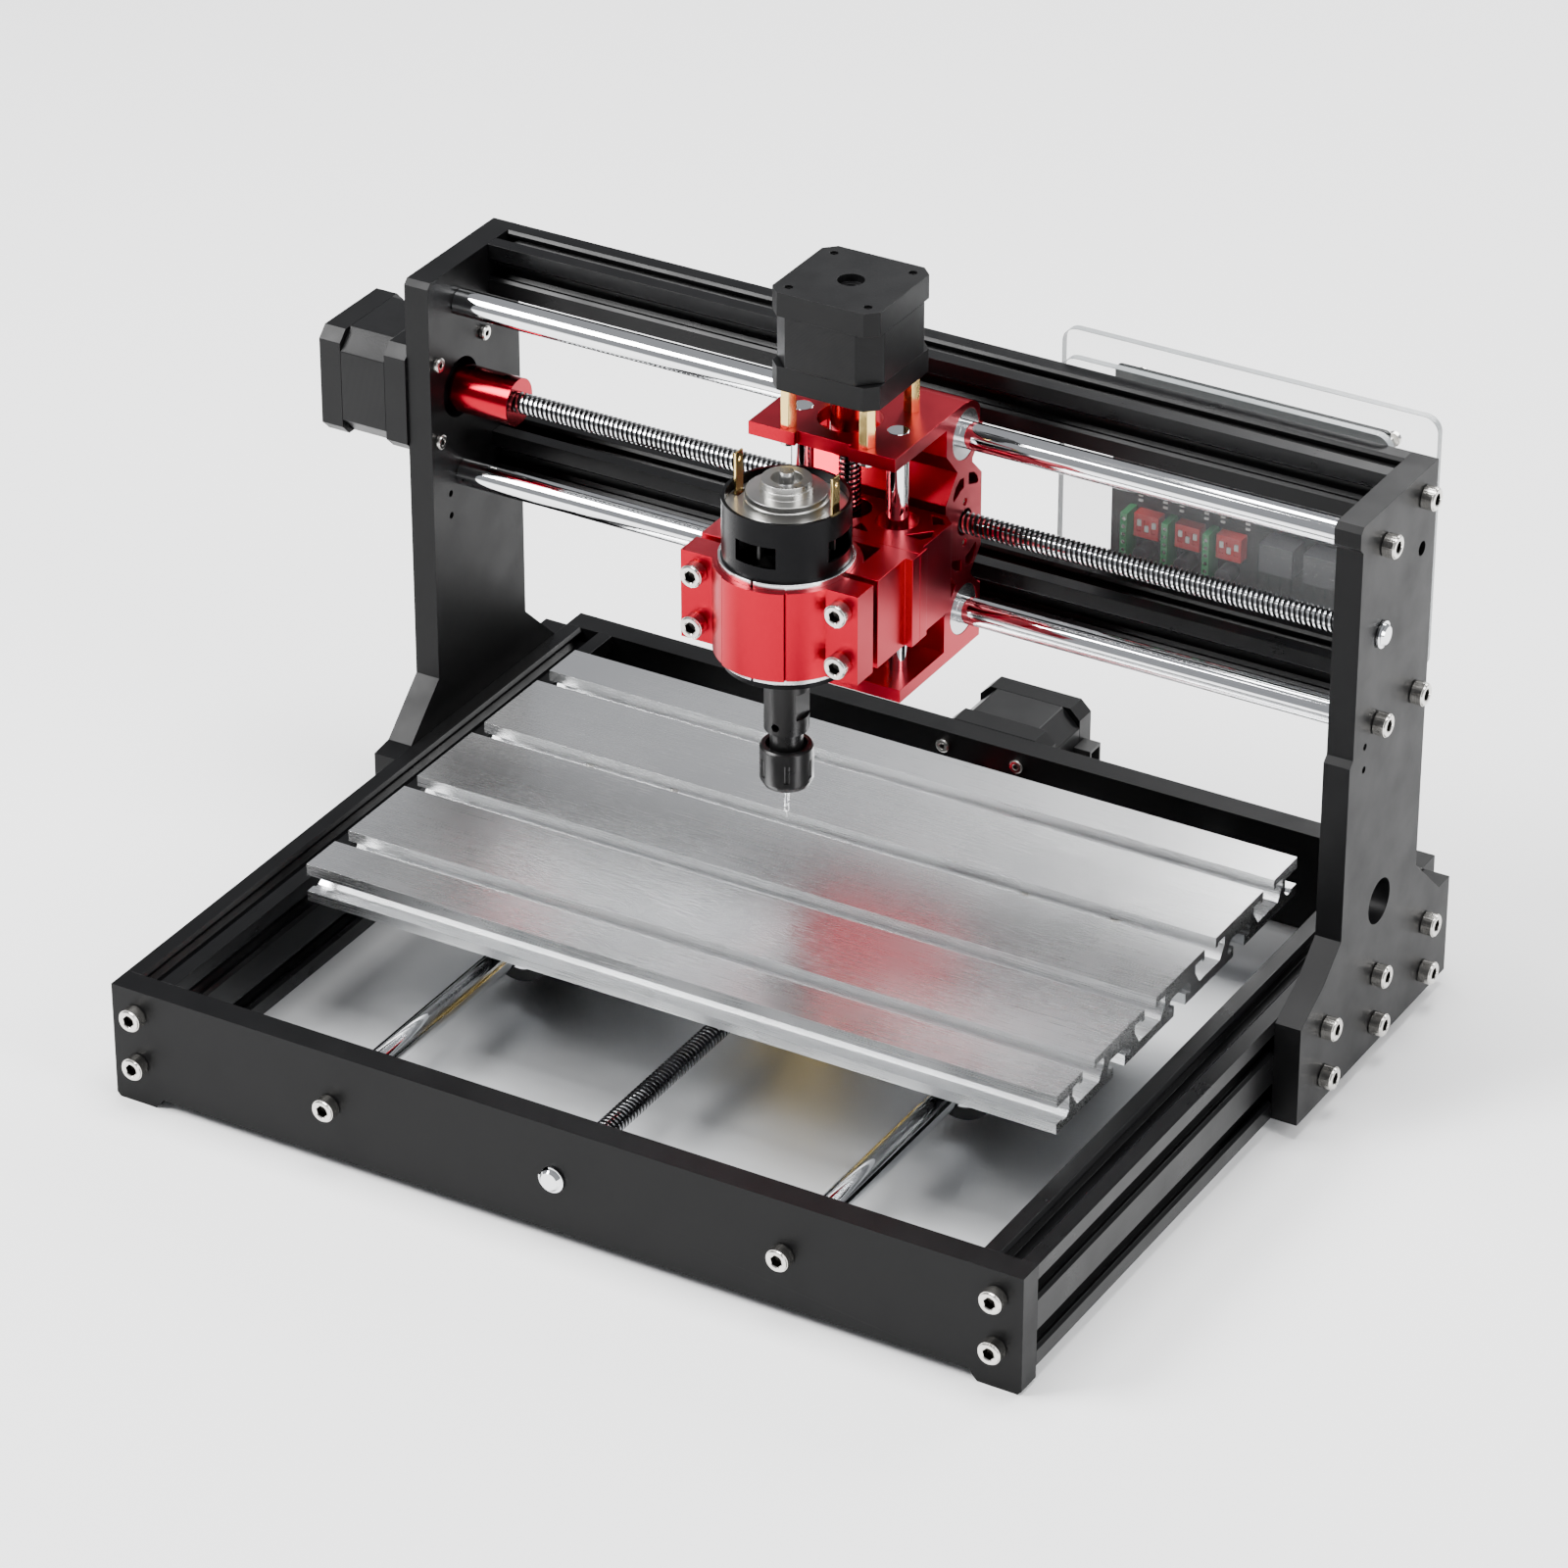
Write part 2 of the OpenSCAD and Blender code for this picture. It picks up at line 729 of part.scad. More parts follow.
module motor_screws() {
    depth = end_plate_t + 4;
    side_depth = side_t + 4;
    color(bright_steel) {
        at_x_motor() motor_square() translate([0, 0, side_t]) m3_screw(side_depth);
        at_y_motor() motor_square() translate([0, 0, end_plate_t]) m3_screw(depth);
    }
}

module screw_bearings() {
    color(bright_steel) {
        translate([side_x, x_rod_y, x_axis_z]) facing("+x")
            ring(screw_bearing_d, screw_d + 2 * run_gap, screw_bearing_t);
        translate([0, rail_front - screw_bearing_t, y_axis_z]) facing("+y")
            ring(screw_bearing_d, screw_d + 2 * run_gap, screw_bearing_t);
    }
}

module x_lead_screw() {
    screw_start = -side_x + coupler_l / 2;
    stub_end = side_outer + stub_out;
    color(bright_steel) {
        translate([screw_start, x_rod_y, x_axis_z]) facing("+x") cylinder(d = screw_d, h = stub_end - screw_start);
        translate([side_outer + 0.3, x_rod_y, x_axis_z]) facing("+x") ring_clip();
        at_x_motor() motor_shaft(side_t + coupler_l / 2 - shaft_gap);
    }
}

module x_coupler() {
    color(red_anodised) translate([x_coupler_end, x_rod_y, x_axis_z]) facing("-x") coupler(coupler_d);
}

module y_lead_screw() {
    stub_end = front_y - stub_out;
    screw_end = y_coupler_end + coupler_l / 2;
    color(bright_steel) {
        translate([0, stub_end, y_axis_z]) facing("+y") cylinder(d = screw_d, h = screw_end - stub_end);
        translate([0, front_y - 0.3, y_axis_z]) facing("-y") ring_clip();
        at_y_motor() motor_shaft(end_plate_t + coupler_l / 2 - shaft_gap);
    }
}

module y_coupler() {
    color(red_anodised) translate([0, y_coupler_end, y_axis_z]) facing("+y") coupler(coupler_d);
}

// ---- Control board ----

module board_screw_places() {
    for (x = [-0.5, 0.5], z = [top_beam_z, lower_beam_z])
        translate([board_screw_x + x * board_screw_pitch, 0, z + ext_s / 2]) children();
}

// Places of the standoffs that carry the board and the cover sheet
module standoff_places() {
    for (x = [-1, 1], z = [-1, 1])
        translate([pcb_x + x * (pcb[0] / 2 - 4), 0, board_z + z * (pcb[1] / 2 - 9)]) children();
}

// Flat sheet with rounded corners, from y = 0 to y = t
module round_sheet(size, t, corner) {
    along_y_plate(t) union() {
        square([size[0] - 2 * corner, size[1]], center = true);
        square([size[0], size[1] - 2 * corner], center = true);
        for (x = [-1, 1], z = [-1, 1])
            translate([x * (size[0] / 2 - corner), z * (size[1] / 2 - corner)]) circle(r = corner);
    }
}

module board_mount_sheet() {
    color(clear_sheet) difference() {
        translate([board_x, mount_sheet_y, board_z]) round_sheet(mount_sheet, sheet_t, 6);
        board_screw_places() translate([0, mount_sheet_y - 1, 0]) facing("+y") cylinder(d = 4.4, h = sheet_t + 2);
        standoff_places() translate([0, mount_sheet_y - 1, 0]) facing("+y")
            cylinder(d = small_hole_d, h = sheet_t + 2);
    }
}

module board_cover_sheet() {
    color(clear_sheet) difference() {
        translate([cover_x, cover_y, board_z]) round_sheet(cover_sheet, sheet_t, 6);
        standoff_places() translate([0, cover_y - 1, 0]) facing("+y") cylinder(d = small_hole_d, h = sheet_t + 2);
    }
}

module circuit_board() {
    color([0.06, 0.07, 0.07]) difference() {
        translate([pcb_x, pcb_y, board_z]) round_sheet(pcb, pcb_t, 2);
        standoff_places() translate([0, pcb_y - 1, 0]) facing("+y") cylinder(d = small_hole_d, h = pcb_t + 2);
    }
}

// Three driver stations along the board
driver_pitch = 16.25;
driver_x = pcb_x - pcb[0] / 2 + 16.4;
driver_z = board_z - 13.2;

module driver_places() {
    for (i = [0:2]) translate([driver_x + i * driver_pitch, pcb_y, driver_z]) children();
}

module dip_switches() {
    color(red_anodised) driver_places() difference() {
        translate([-4.9, -5, -4.6]) cube([9.8, 5, 9.2]);
        for (i = [-1:1]) translate([i * 2.9 - 0.9, -6, -2.4]) cube([1.8, 1.8, 4.8]);
    }
}

module terminal_strips() {
    color([0.05, 0.35, 0.16]) driver_places() translate([-8.8, -8, -15]) difference() {
        cube([2.6, 8, 20]);
        for (i = [0:5]) translate([1.3, -1, 2.2 + i * 3.1]) facing("+y") cylinder(d = 1.8, h = 4);
    }
}

module board_components() {
    color([0.22, 0.22, 0.23]) {
        driver_places() translate([-1, 0, -11]) facing("-y") cylinder(d = 6.6, h = 7);
        for (i = [0, 1]) translate([pcb_x + 10 + i * 17, pcb_y - 9.5, board_z - 16]) cube([13, 9.5, 11]);
        translate([pcb_x + 12, pcb_y - 3, board_z + 2]) cube([26, 3, 16]);
        translate([pcb_x - 34, pcb_y - 6, board_z + 8]) cube([30, 6, 14]);
    }
}

// Standoffs, sheet screws and cover screws
module board_standoffs() {
    hex = standoff_d / cos(30);
    near = pcb_y - mount_sheet_y - sheet_t;
    far = cover_y - pcb_y - pcb_t;
    color(bright_steel) {
        standoff_places() {
            translate([0, mount_sheet_y + sheet_t, 0]) facing("+y") cylinder(d = hex, h = near, $fn = 6);
            translate([0, pcb_y + pcb_t, 0]) facing("+y") cylinder(d = hex, h = far, $fn = 6);
            translate([0, cover_y + sheet_t, 0]) facing("+y") cylinder(d = m3_head_d, h = m3_head_h);
        }
        board_screw_places() translate([0, mount_sheet_y + sheet_t, 0]) facing("+y")
            cap_screw(m4_d, m4_head_d, 2.4, 2.5, sheet_t + slot_lip_t + 2.4);
    }
}

// ---- Table ----

// One table slot: opening up at y = 0
module table_slot_profile(depth, spread) {
    mouth = table_slot_w / 2;
    hook = 1.8;
    lip = 4.2;
    polygon([
        [-mouth, tiny], [mouth, tiny], [mouth, -lip], [mouth + hook, -lip], [mouth + hook, -lip + 1.3],
        [mouth + spread, -lip + 1.3], [mouth + spread, -lip - 1.8], [mouth + spread / 2, -depth],
        [-mouth - spread / 2, -depth], [-mouth - spread, -lip - 1.8], [-mouth - spread, -lip + 1.3],
        [-mouth - hook, -lip + 1.3], [-mouth - hook, -lip], [-mouth, -lip]
    ]);
}

module table_section() {
    half = table_d / 2;
    lip = 4.5;
    difference() {
        translate([-half, 0]) square([table_d, table_t]);
        for (y = table_slots) translate([y, table_t]) table_slot_profile(11, 7);
        for (y = under_slots) rotate(180) translate([-y, 0]) table_slot_profile(8, 4);
        for (side = [-1, 1]) polygon([
            [side * (half + 1), lip - 0.5], [side * (half - 4), lip - 0.5], [side * (half - 4), lip - 1.5],
            [side * (half - 7), lip - 1.5], [side * (half - 9), lip], [side * (half - 9), table_t - lip],
            [side * (half + 1), table_t - lip]
        ]);
    }
}

// Places of the four bearing blocks, at the rod axis and the block centre
module block_places() {
    for (side = [-1, 1], row = [-1, 1])
        translate([side * y_rod_x, table_y + row * block_y, y_axis_z]) children();
}

// Places of the wing screws of every block and of the nut block
module wing_screw_places() {
    for (side = [-1, 1]) {
        block_places() translate([side * wing_reach, 0, table_z - y_axis_z]) children();
        translate([side * wing_reach, table_y, table_z]) children();
    }
}

module table_plate() {
    color(bare_aluminium) difference() {
        translate([-table_w / 2, table_y, table_z]) along_x(table_w) table_section();
        wing_screw_places() translate([0, 0, -1]) cylinder(d = m4_d + 2 * seat_gap, h = table_screw_depth + 1);
    }
}

// Bearing block outline in X and Z about the rod axis, with wings under the table
module block_outline(bore) {
    top = table_z - y_axis_z;
    difference() {
        union() {
            circle(d = block_w);
            translate([-block_w / 2, 0]) square([block_w, top]);
            translate([-wing_w / 2, top - wing_t]) square([wing_w, wing_t]);
        }
        circle(d = bore);
        for (side = [-1, 1]) translate([side * block_w / 2, 8]) circle(d = 5);
    }
}

module table_blocks() {
    color(black_satin) difference() {
        block_places() translate([0, -block_l / 2, 0]) along_y_plate(block_l)
            block_outline(rod_bearing_d + 2 * seat_gap);
        wing_screw_places() translate([0, 0, -wing_t - 1]) cylinder(d = m4_d + 2 * bolt_gap, h = wing_t + 2);
    }
}

module table_bearings() {
    color(bright_steel) block_places() translate([0, -rod_bearing_l / 2, 0]) facing("+y")
        linear_bearing(rod_bearing_d, rod_d, rod_bearing_l);
}

module table_nut() {
    nut_block_l = 20;
    color(brass) difference() {
        translate([0, table_y - nut_block_l / 2, y_axis_z]) along_y_plate(nut_block_l)
            block_outline(screw_d + 2 * run_gap);
        wing_screw_places() translate([0, 0, -wing_t - 1]) cylinder(d = m4_d + 2 * bolt_gap, h = wing_t + 2);
    }
}

// Wing screws, and the two plates behind the lips of the middle slot that take the nut block's screws
module table_screws() {
    plate_l = 11;
    plate_t = 2.4;
    lip = 4.2;
    color(bright_steel) {
        wing_screw_places() translate([0, 0, -wing_t]) rotate([180, 0, 0])
            cap_screw(m4_d, m4_head_d, m4_head_h, 3, wing_t + table_screw_depth - 1);
        for (side = [-1, 1]) translate([side * wing_reach, table_y, table_z + lip + plate_t / 2]) difference() {
            cube([9, plate_l, plate_t], center = true);
            cylinder(d = m4_d + 2 * seat_gap, h = plate_t + 2, center = true);
        }
    }
}

// ---- X carriage ----

// Carriage side outline in Y and Z
module carriage_outline() {
    notch_d = 8.2;
    notch_h = 9.5;
    notch_z = waist_h / 2 - 7;
    difference() {
        union() {
            translate([carriage_wall, arm_bottom]) square([ring_r * 2 + 2, x_rod_z[1] - arm_bottom]);
            translate([x_rod_y, x_rod_z[1]]) circle(r = ring_r);
            translate([carriage_wall, x_rod_z[1]]) square([x_rod_y - carriage_wall, arm_top - x_rod_z[1]]);
            translate([top_arm_front, arm_top - arm_t]) square([x_rod_y - top_arm_front, arm_t]);
            translate([bottom_arm_front, arm_bottom]) square([carriage_rear - bottom_arm_front, arm_t]);
        }
        for (up = [-1, 1]) translate([0, x_axis_z]) {
            polygon([
                [carriage_wall - 1, up * (notch_z + notch_h)], [carriage_wall, up * (notch_z + notch_h)],
                [carriage_wall + notch_d, up * notch_z], [carriage_wall, up * (notch_z - notch_h)],
                [carriage_wall - 1, up * (notch_z - notch_h)]
            ]);
            polygon([
                [carriage_rear + 1, up * 14.5], [carriage_rear, up * 14.5], [carriage_rear - waist_d, up * 21.5],
                [carriage_rear - waist_d, up * 23], [carriage_rear - 1, up * 29], [carriage_rear + 1, up * 29]
            ]);
        }
        translate([carriage_rear - 2, x_rod_z[1]]) square([3, 20]);
    }
}

// Two windows above the screw and two below it, in Y and Z from the screw
module carriage_windows() {
    for (up = [0, 180]) rotate(up) {
        polygon([[2.4, 13.8], [8.6, 11.6], [9.4, 12.3], [8.8, 14.2], [6.2, 17], [2.4, 18.4]]);
        polygon([[-1, 14.1], [-1, 18], [-4, 18.4], [-6.8, 16.6], [-8.8, 12.8], [-8.2, 11.4], [-4, 13.4]]);
    }
}

module carriage_body() {
    width = carriage_w;
    color(red_anodised) difference() {
        translate([-width / 2, 0, 0]) along_x(width) carriage_outline();
        translate([-width / 2 - 1, x_rod_y, x_axis_z]) along_x(width + 2) carriage_windows();
        x_rod_places() translate([-width / 2 - 1, 0, 0]) facing("+x")
            cylinder(d = rod_bearing_d + 2 * seat_gap, h = width + 2);
        translate([-width / 2 - 1, x_rod_y, x_axis_z]) facing("+x") {
            cylinder(d = nut_body_d + 2 * seat_gap, h = width + 2);
            cylinder(d = nut_flange_d + 2 * ring_gap, h = nut_flange_t + 1);
        }
        for (up = [-1, 1]) translate([width / 2 - 3, x_rod_y, x_axis_z + up * nut_pin_r]) facing("+x")
            cylinder(d = 3, h = 4);
        translate([0, z_axis_y, arm_bottom - 1]) cylinder(d = screw_d + 1, h = arm_top);
        translate([0, z_axis_y, arm_top - arm_t - 1]) cylinder(d = arm_hole_d, h = arm_t + 2);
        for (side = [-1, 1]) translate([side * z_rod_pitch / 2, z_axis_y, arm_bottom - 1])
            cylinder(d = z_rod_d + 2 * seat_gap, h = arm_top);
        translate([0, z_axis_y, arm_top - arm_t - 1]) motor_square() cylinder(d = small_hole_d, h = arm_t + 2);
        translate([0, z_axis_y, arm_top - arm_t - 12]) motor_square() cylinder(d = m3_head_d + 1, h = 12);
        translate([-10.7, top_arm_front - 1, arm_top - arm_t - 1]) cube([21.4, 3, arm_t + 2]);
    }
}

module carriage_bearings() {
    seats = [-carriage_w / 2, carriage_w / 2 - rod_bearing_l];
    color(bright_steel) for (x = seats) x_rod_places() translate([x, 0, 0]) facing("+x")
        linear_bearing(rod_bearing_d, rod_d, rod_bearing_l - 0.2);
}

module x_nut() {
    color(brass) translate([-carriage_w / 2, x_rod_y, x_axis_z]) facing("-x") brass_nut();
}

// Nut screws in the right face of the carriage, and the motor screws under its top arm
module carriage_screws() {
    color(bright_steel) {
        for (up = [-1, 1]) translate([carriage_w / 2 - 0.6, x_rod_y, x_axis_z + up * nut_pin_r]) facing("-x")
            difference() {
                cylinder(d = m3_d - 2 * seat_gap, h = 2.4);
                translate([0, 0, -1]) cylinder(d = 1.6 / cos(30), h = 2, $fn = 6);
            }
        translate([0, z_axis_y, arm_top - arm_t]) rotate([180, 0, 0]) motor_square() m3_screw(arm_t + 4);
    }
}

module z_rods() {
    color(bright_steel) for (side = [-1, 1]) translate([side * z_rod_pitch / 2, z_axis_y, arm_bottom])
        cylinder(d = z_rod_d, h = arm_top - arm_bottom);
}

module z_motor_caps() {
    color(black_satin) {
        at_z_motor() motor_caps();
        at_z_motor() motor_socket();
    }
}

module z_motor_stator() {
    color(black_satin) at_z_motor() motor_stator();
}

module z_standoffs() {
    hex = 5.5 / cos(30);
    color(brass) at_z_motor() motor_square() difference() {
        cylinder(d = hex, h = standoff_h, $fn = 6);
        translate([0, 0, standoff_h - 5]) cylinder(d = m3_d + 2 * seat_gap, h = 6);
    }
}

module z_lead_screw() {
    screw_bottom = arm_bottom + 0.5;
    screw_top = z_coupler_z + coupler_l / 2;
    color(bright_steel) {
        translate([0, z_axis_y, screw_bottom]) cylinder(d = screw_d, h = screw_top - screw_bottom);
        at_z_motor() motor_shaft(coupler_gap + coupler_l / 2 - shaft_gap);
    }
}

module z_coupler() {
    color(red_anodised) translate([0, z_axis_y, z_coupler_z]) coupler(z_coupler_d);
}

// ---- Z slide ----

// Windows around each bearing bore of the Z block, for the +X half
module block_windows() {
    polygon([[8.5, -12.3], [14.5, -12.6], [11.6, -9.4], [9, -7.6]]);
    polygon([[26.5, -8.2], [33, -8.4], [35.2, -4.8], [33.8, -0.6]]);
    polygon([[27.4, 9.4], [31.8, 9], [34.7, 5.4], [31.2, 3.2]]);
}

module z_block() {
    rim = flange_w / 2;
    half = rim - 1.6;
    flange_rear = holder_seam + flange_t;
    corner = 4;
    color(red_anodised) difference() {
        translate([0, 0, holder_z]) linear_extrude(holder_h) polygon([
            [-rim, holder_seam], [rim, holder_seam], [rim, flange_rear], [half, flange_rear],
            [half, block_rear - corner], [half - corner, block_rear],
            [corner - half, block_rear], [-half, block_rear - corner], [-half, flange_rear], [-rim, flange_rear]
        ]);
        for (side = [0, 1]) mirror([side, 0, 0]) {
            translate([z_rod_pitch / 2, z_axis_y, holder_z - 1]) cylinder(d = z_bearing_d + 2 * seat_gap, h = holder_h + 2);
            translate([0, z_axis_y, holder_z - 1]) linear_extrude(holder_h + 2) block_windows();
        }
        translate([0, z_axis_y, holder_z - 1]) cylinder(d = nut_body_d + 2 * seat_gap, h = holder_h + 2);
        translate([0, z_axis_y, holder_z - 1]) cylinder(d = nut_flange_d + 2 * seat_gap, h = nut_flange_t + 1);
        translate([0, z_axis_y, holder_z + nut_l + 2]) cylinder(d = z_coupler_d + 2, h = holder_h);
    }
}

module z_bearings() {
    color(bright_steel) for (side = [-1, 1])
        translate([side * z_rod_pitch / 2, z_axis_y, holder_z + (holder_h - z_bearing_l) / 2])
            linear_bearing(z_bearing_d, z_rod_d, z_bearing_l);
}

module z_nut() {
    color(brass) translate([0, z_axis_y, holder_z]) rotate([180, 0, 0]) brass_nut();
}

module clamp_bolt_places() {
    middle = holder_z + holder_h / 2;
    for (side = [-1, 1], up = [-0.5, 0.5])
        translate([side * clamp_bolt_x, clamp_front, middle + up * clamp_bolt_pitch]) children();
}

module spindle_holder() {
    half = holder_w / 2;
    front = clamp_rear + clamp_gap;
    pocket_r = flux_r + 2.6;
    bolt_depth = 16;
    color(red_anodised) difference() {
        union() {
            translate([-half, front, holder_z]) cube([holder_w, holder_seam - front, holder_h]);
            translate([-flange_w / 2, holder_seam - flange_t, holder_z]) cube([flange_w, flange_t, holder_h]);
        }
        translate([0, spindle_y, holder_z - 1]) cylinder(r = flux_r + ring_gap, h = holder_h + 2);
        for (side = [0, 1]) mirror([side, 0, 0]) translate([0, 0, holder_z - 1]) linear_extrude(holder_h + 2)
            difference() {
                translate([8, spindle_y + 8]) square([16, holder_seam - spindle_y - 11]);
                translate([0, spindle_y]) circle(r = pocket_r);
            }
        clamp_bolt_places() translate([0, clamp_rear - clamp_front, 0]) facing("+y")
            cylinder(d = m5_d + 2 * seat_gap, h = bolt_depth + 2);
    }
}

module spindle_clamp() {
    half = holder_w / 2;
    band_w = 25;
    band_r = clamp_r + 0.5;
    groove = 0.6;
    color(red_anodised) difference() {
        union() {
            translate([-half, clamp_front, holder_z]) cube([holder_w, clamp_rear - clamp_front, holder_h]);
            intersection() {
                translate([0, spindle_y, holder_z]) cylinder(r = clamp_r, h = holder_h);
                translate([-half, spindle_y - 40, holder_z]) cube([holder_w, 40 + clamp_rear - spindle_y, holder_h]);
            }
            intersection() {
                translate([0, spindle_y, holder_z]) cylinder(r = band_r, h = holder_h);
                translate([-band_w / 2, spindle_y - 40, holder_z]) cube([band_w, 30, holder_h]);
            }
        }
        translate([0, spindle_y, holder_z - 1]) cylinder(r = flux_r + ring_gap, h = holder_h + 2);
        clamp_bolt_places() translate([0, -1, 0]) facing("+y") cylinder(d = bolt_hole_d, h = 20);
        for (side = [-1, 1]) intersection() {
            translate([0, spindle_y, holder_z - 1]) ring(2 * clamp_r + 4, 2 * (clamp_r - groove), holder_h + 2);
            translate([side * band_w / 2 - groove / 2, spindle_y - 40, holder_z - 1])
                cube([groove, 40, holder_h + 2]);
        }
    }
}

module clamp_bolts() {
    shank = clamp_rear - clamp_front + clamp_gap + 13;
    color(bright_steel) clamp_bolt_places() facing("-y") m5_screw(shank);
}

// Split steel ring around the can
module flux_ring() {
    ring_z = holder_z - 2.5;
    ring_h = holder_h + 4.8;
    color(bright_steel) difference() {
        translate([0, spindle_y, ring_z]) ring(2 * flux_r, can_d + 2 * ring_gap, ring_h);
        translate([-0.4, spindle_y - 30, ring_z - 1]) cube([0.8, 30, ring_h + 2]);
    }
}

module spindle_can() {
    wall = 1.2;
    floor_t = 3;
    color(black_satin) difference() {
        translate([0, spindle_y, can_z]) cylinder(r = can_r, h = can_top - can_z);
        translate([0, spindle_y, can_z + floor_t]) cylinder(r = can_r - wall, h = can_top - can_z);
        translate([0, spindle_y, can_z - 1]) cylinder(d = 13, h = floor_t + 2);
        for (turn = [0:90:270]) translate([0, spindle_y, window_z]) rotate(turn) window_wedge();
    }
}

// Wedge that cuts one cooling window of the can
module window_wedge() {
    reach = 30;
    half = reach * tan(window_angle / 2);
    linear_extrude(window_h) polygon([[0, 0], [reach, -half], [reach, half]]);
}

module spindle_end_cap() {
    color(bright_steel) translate([0, spindle_y, 0]) difference() {
        union() {
            translate([0, 0, cap_z - 2]) cylinder(r = can_r - 1.2 - seat_gap, h = 2);
            translate([0, 0, cap_z]) cylinder(r = cap_step_r, h = 3.6);
            translate([0, 0, cap_z + 3.6]) cylinder(r = cap_step_r - 0.6, h = 2.2);
            translate([0, 0, cap_z + 5.8]) cylinder(r = 9.3, h = 2.2);
            translate([0, 0, cap_z + 8]) cylinder(r = 8.85, h = 2.3);
        }
        translate([0, 0, cap_z - 3]) cylinder(r = 3, h = 20);
        translate([0, 0, cap_z + 5]) cylinder(r = 5.4, h = 20);
        for (side = [-1, 1]) translate([side * terminal_x - 1.5, -2.7, cap_z - 3]) cube([3, 5.4, 4]);
    }
}

module spindle_terminals() {
    color(brass) for (side = [-1, 1]) translate([side * terminal_x, spindle_y, cap_z - 2]) difference() {
        translate([-0.4, -2.4, 0]) cube([0.8, 4.8, 17.5]);
        translate([-1, 0, 14.5]) facing("+x") cylinder(d = 1.8, h = 2);
    }
}

// ---- Spindle rotor ----

// Armature and cooling fan inside the can
module spindle_rotor_core() {
    fan_z = window_z + 1;
    color(bright_steel) translate([0, spindle_y, 0]) difference() {
        union() {
            translate([0, 0, can_z + 8]) cylinder(r = rotor_r, h = fan_z - can_z - 8);
            translate([0, 0, fan_z]) cylinder(r = fan_hub_r + 1, h = window_h - 2);
            for (turn = [0:30:330]) rotate(turn) translate([fan_hub_r, -0.5, fan_z]) cube([fan_r - fan_hub_r, 1, window_h - 2]);
        }
        translate([0, 0, can_z]) cylinder(d = rotor_shaft_d + 2 * seat_gap, h = 80);
    }
}

module spindle_shaft() {
    shaft_bottom = can_z - 18;
    shaft_top = cap_z + 12.9;
    color(bright_steel) translate([0, spindle_y, shaft_bottom])
        cylinder(d = rotor_shaft_d, h = shaft_top - shaft_bottom);
}

// Collet holder: shaft bore above, wrench flats, neck and collet seat below
module collet_holder() {
    top = can_z - 0.6;
    flat_w = 13;
    seat_d = 9;
    color(black_satin) translate([0, spindle_y, 0]) difference() {
        union() {
            translate([0, 0, holder_rod_z]) cylinder(d = holder_rod_d, h = top - holder_rod_z);
            translate([0, 0, holder_rod_z - neck_l]) cylinder(d = neck_d, h = neck_l + tiny);
        }
        translate([0, 0, can_z - 18]) cylinder(d = rotor_shaft_d + 2 * seat_gap, h = 30);
        for (side = [-1, 1]) translate([side * (flat_w / 2 + 5), 0, holder_rod_z + 11]) cube([10, 20, 10], center = true);
        translate([0, 0, holder_rod_z + 3]) facing("-y") cylinder(d = 3, h = 20);
        translate([0, 0, holder_rod_z - neck_l - 1]) cylinder(d = seat_d, h = 13);
    }
}

module collet_nut() {
    r = collet_nut_d / 2;
    chamfer = 1.2;
    color(black_satin) translate([0, spindle_y, nut_z]) difference() {
        rotate_extrude() polygon([
            [0, 0], [r - chamfer, 0], [r, chamfer * 2], [r, collet_nut_h - 0.6], [r - 0.6, collet_nut_h],
            [0, collet_nut_h]
        ]);
        translate([0, 0, 2]) cylinder(d = neck_d + 2 * seat_gap, h = collet_nut_h);
        translate([0, 0, collet_nut_h - 2.5]) cylinder(d = neck_d + 3, h = 3);
        translate([0, 0, -1]) cylinder(d = 8, h = 4);
        for (a = [0:60:300]) rotate(a) translate([r + 0.9, 0, 4]) cylinder(d = 3, h = 7);
    }
}

module collet() {
    color(bright_steel) translate([0, spindle_y, nut_z + 0.4]) difference() {
        union() {
            cylinder(d = 7.6, h = 2);
            translate([0, 0, 2]) cylinder(d = 8.6, h = 17);
        }
        translate([0, 0, -1]) cylinder(d = cutter_d + 2 * seat_gap, h = 22);
    }
}

module cutter() {
    point = 6;
    color(bright_steel) translate([0, spindle_y, cutter_tip_z]) {
        translate([0, 0, point]) cylinder(d = cutter_d, h = cutter_len - point + 14);
        rotate_extrude() polygon([
            [0, 0], [cutter_d * 0.1, 0], [cutter_d * 0.35, point - 1.5], [cutter_d / 2, point], [0, point]
        ]);
    }
}

// ---- Assembly ----

front_plate();
rear_plate();
side_rails();
base_sheet();
left_gantry_plate();
right_gantry_plate();
gantry_beams();
guide_rods();
base_bolts();
gantry_bolts();
slot_nuts();
motor_screws();
screw_bearings();
frame_motor_caps();
frame_motor_stators();
motor_sockets();
board_mount_sheet();
board_cover_sheet();
circuit_board();
dip_switches();
terminal_strips();
board_components();
board_standoffs();
x_lead_screw();
x_coupler();
y_lead_screw();
y_coupler();
table_plate();
table_blocks();
table_bearings();
table_nut();
table_screws();
carriage_body();
carriage_bearings();
x_nut();
carriage_screws();
z_rods();
z_motor_caps();
z_motor_stator();
z_standoffs();
z_lead_screw();
z_coupler();
z_block();
z_bearings();
z_nut();
spindle_holder();
spindle_clamp();
clamp_bolts();
flux_ring();
spindle_can();
spindle_end_cap();
spindle_terminals();
spindle_rotor_core();
spindle_shaft();
collet_holder();
collet_nut();
collet();
cutter();
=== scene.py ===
"""Looks of the desktop CNC router: materials, threads, electronics and small fittings on the CAD frame."""

import math

import bmesh
import bpy
from mathutils import Matrix, Vector


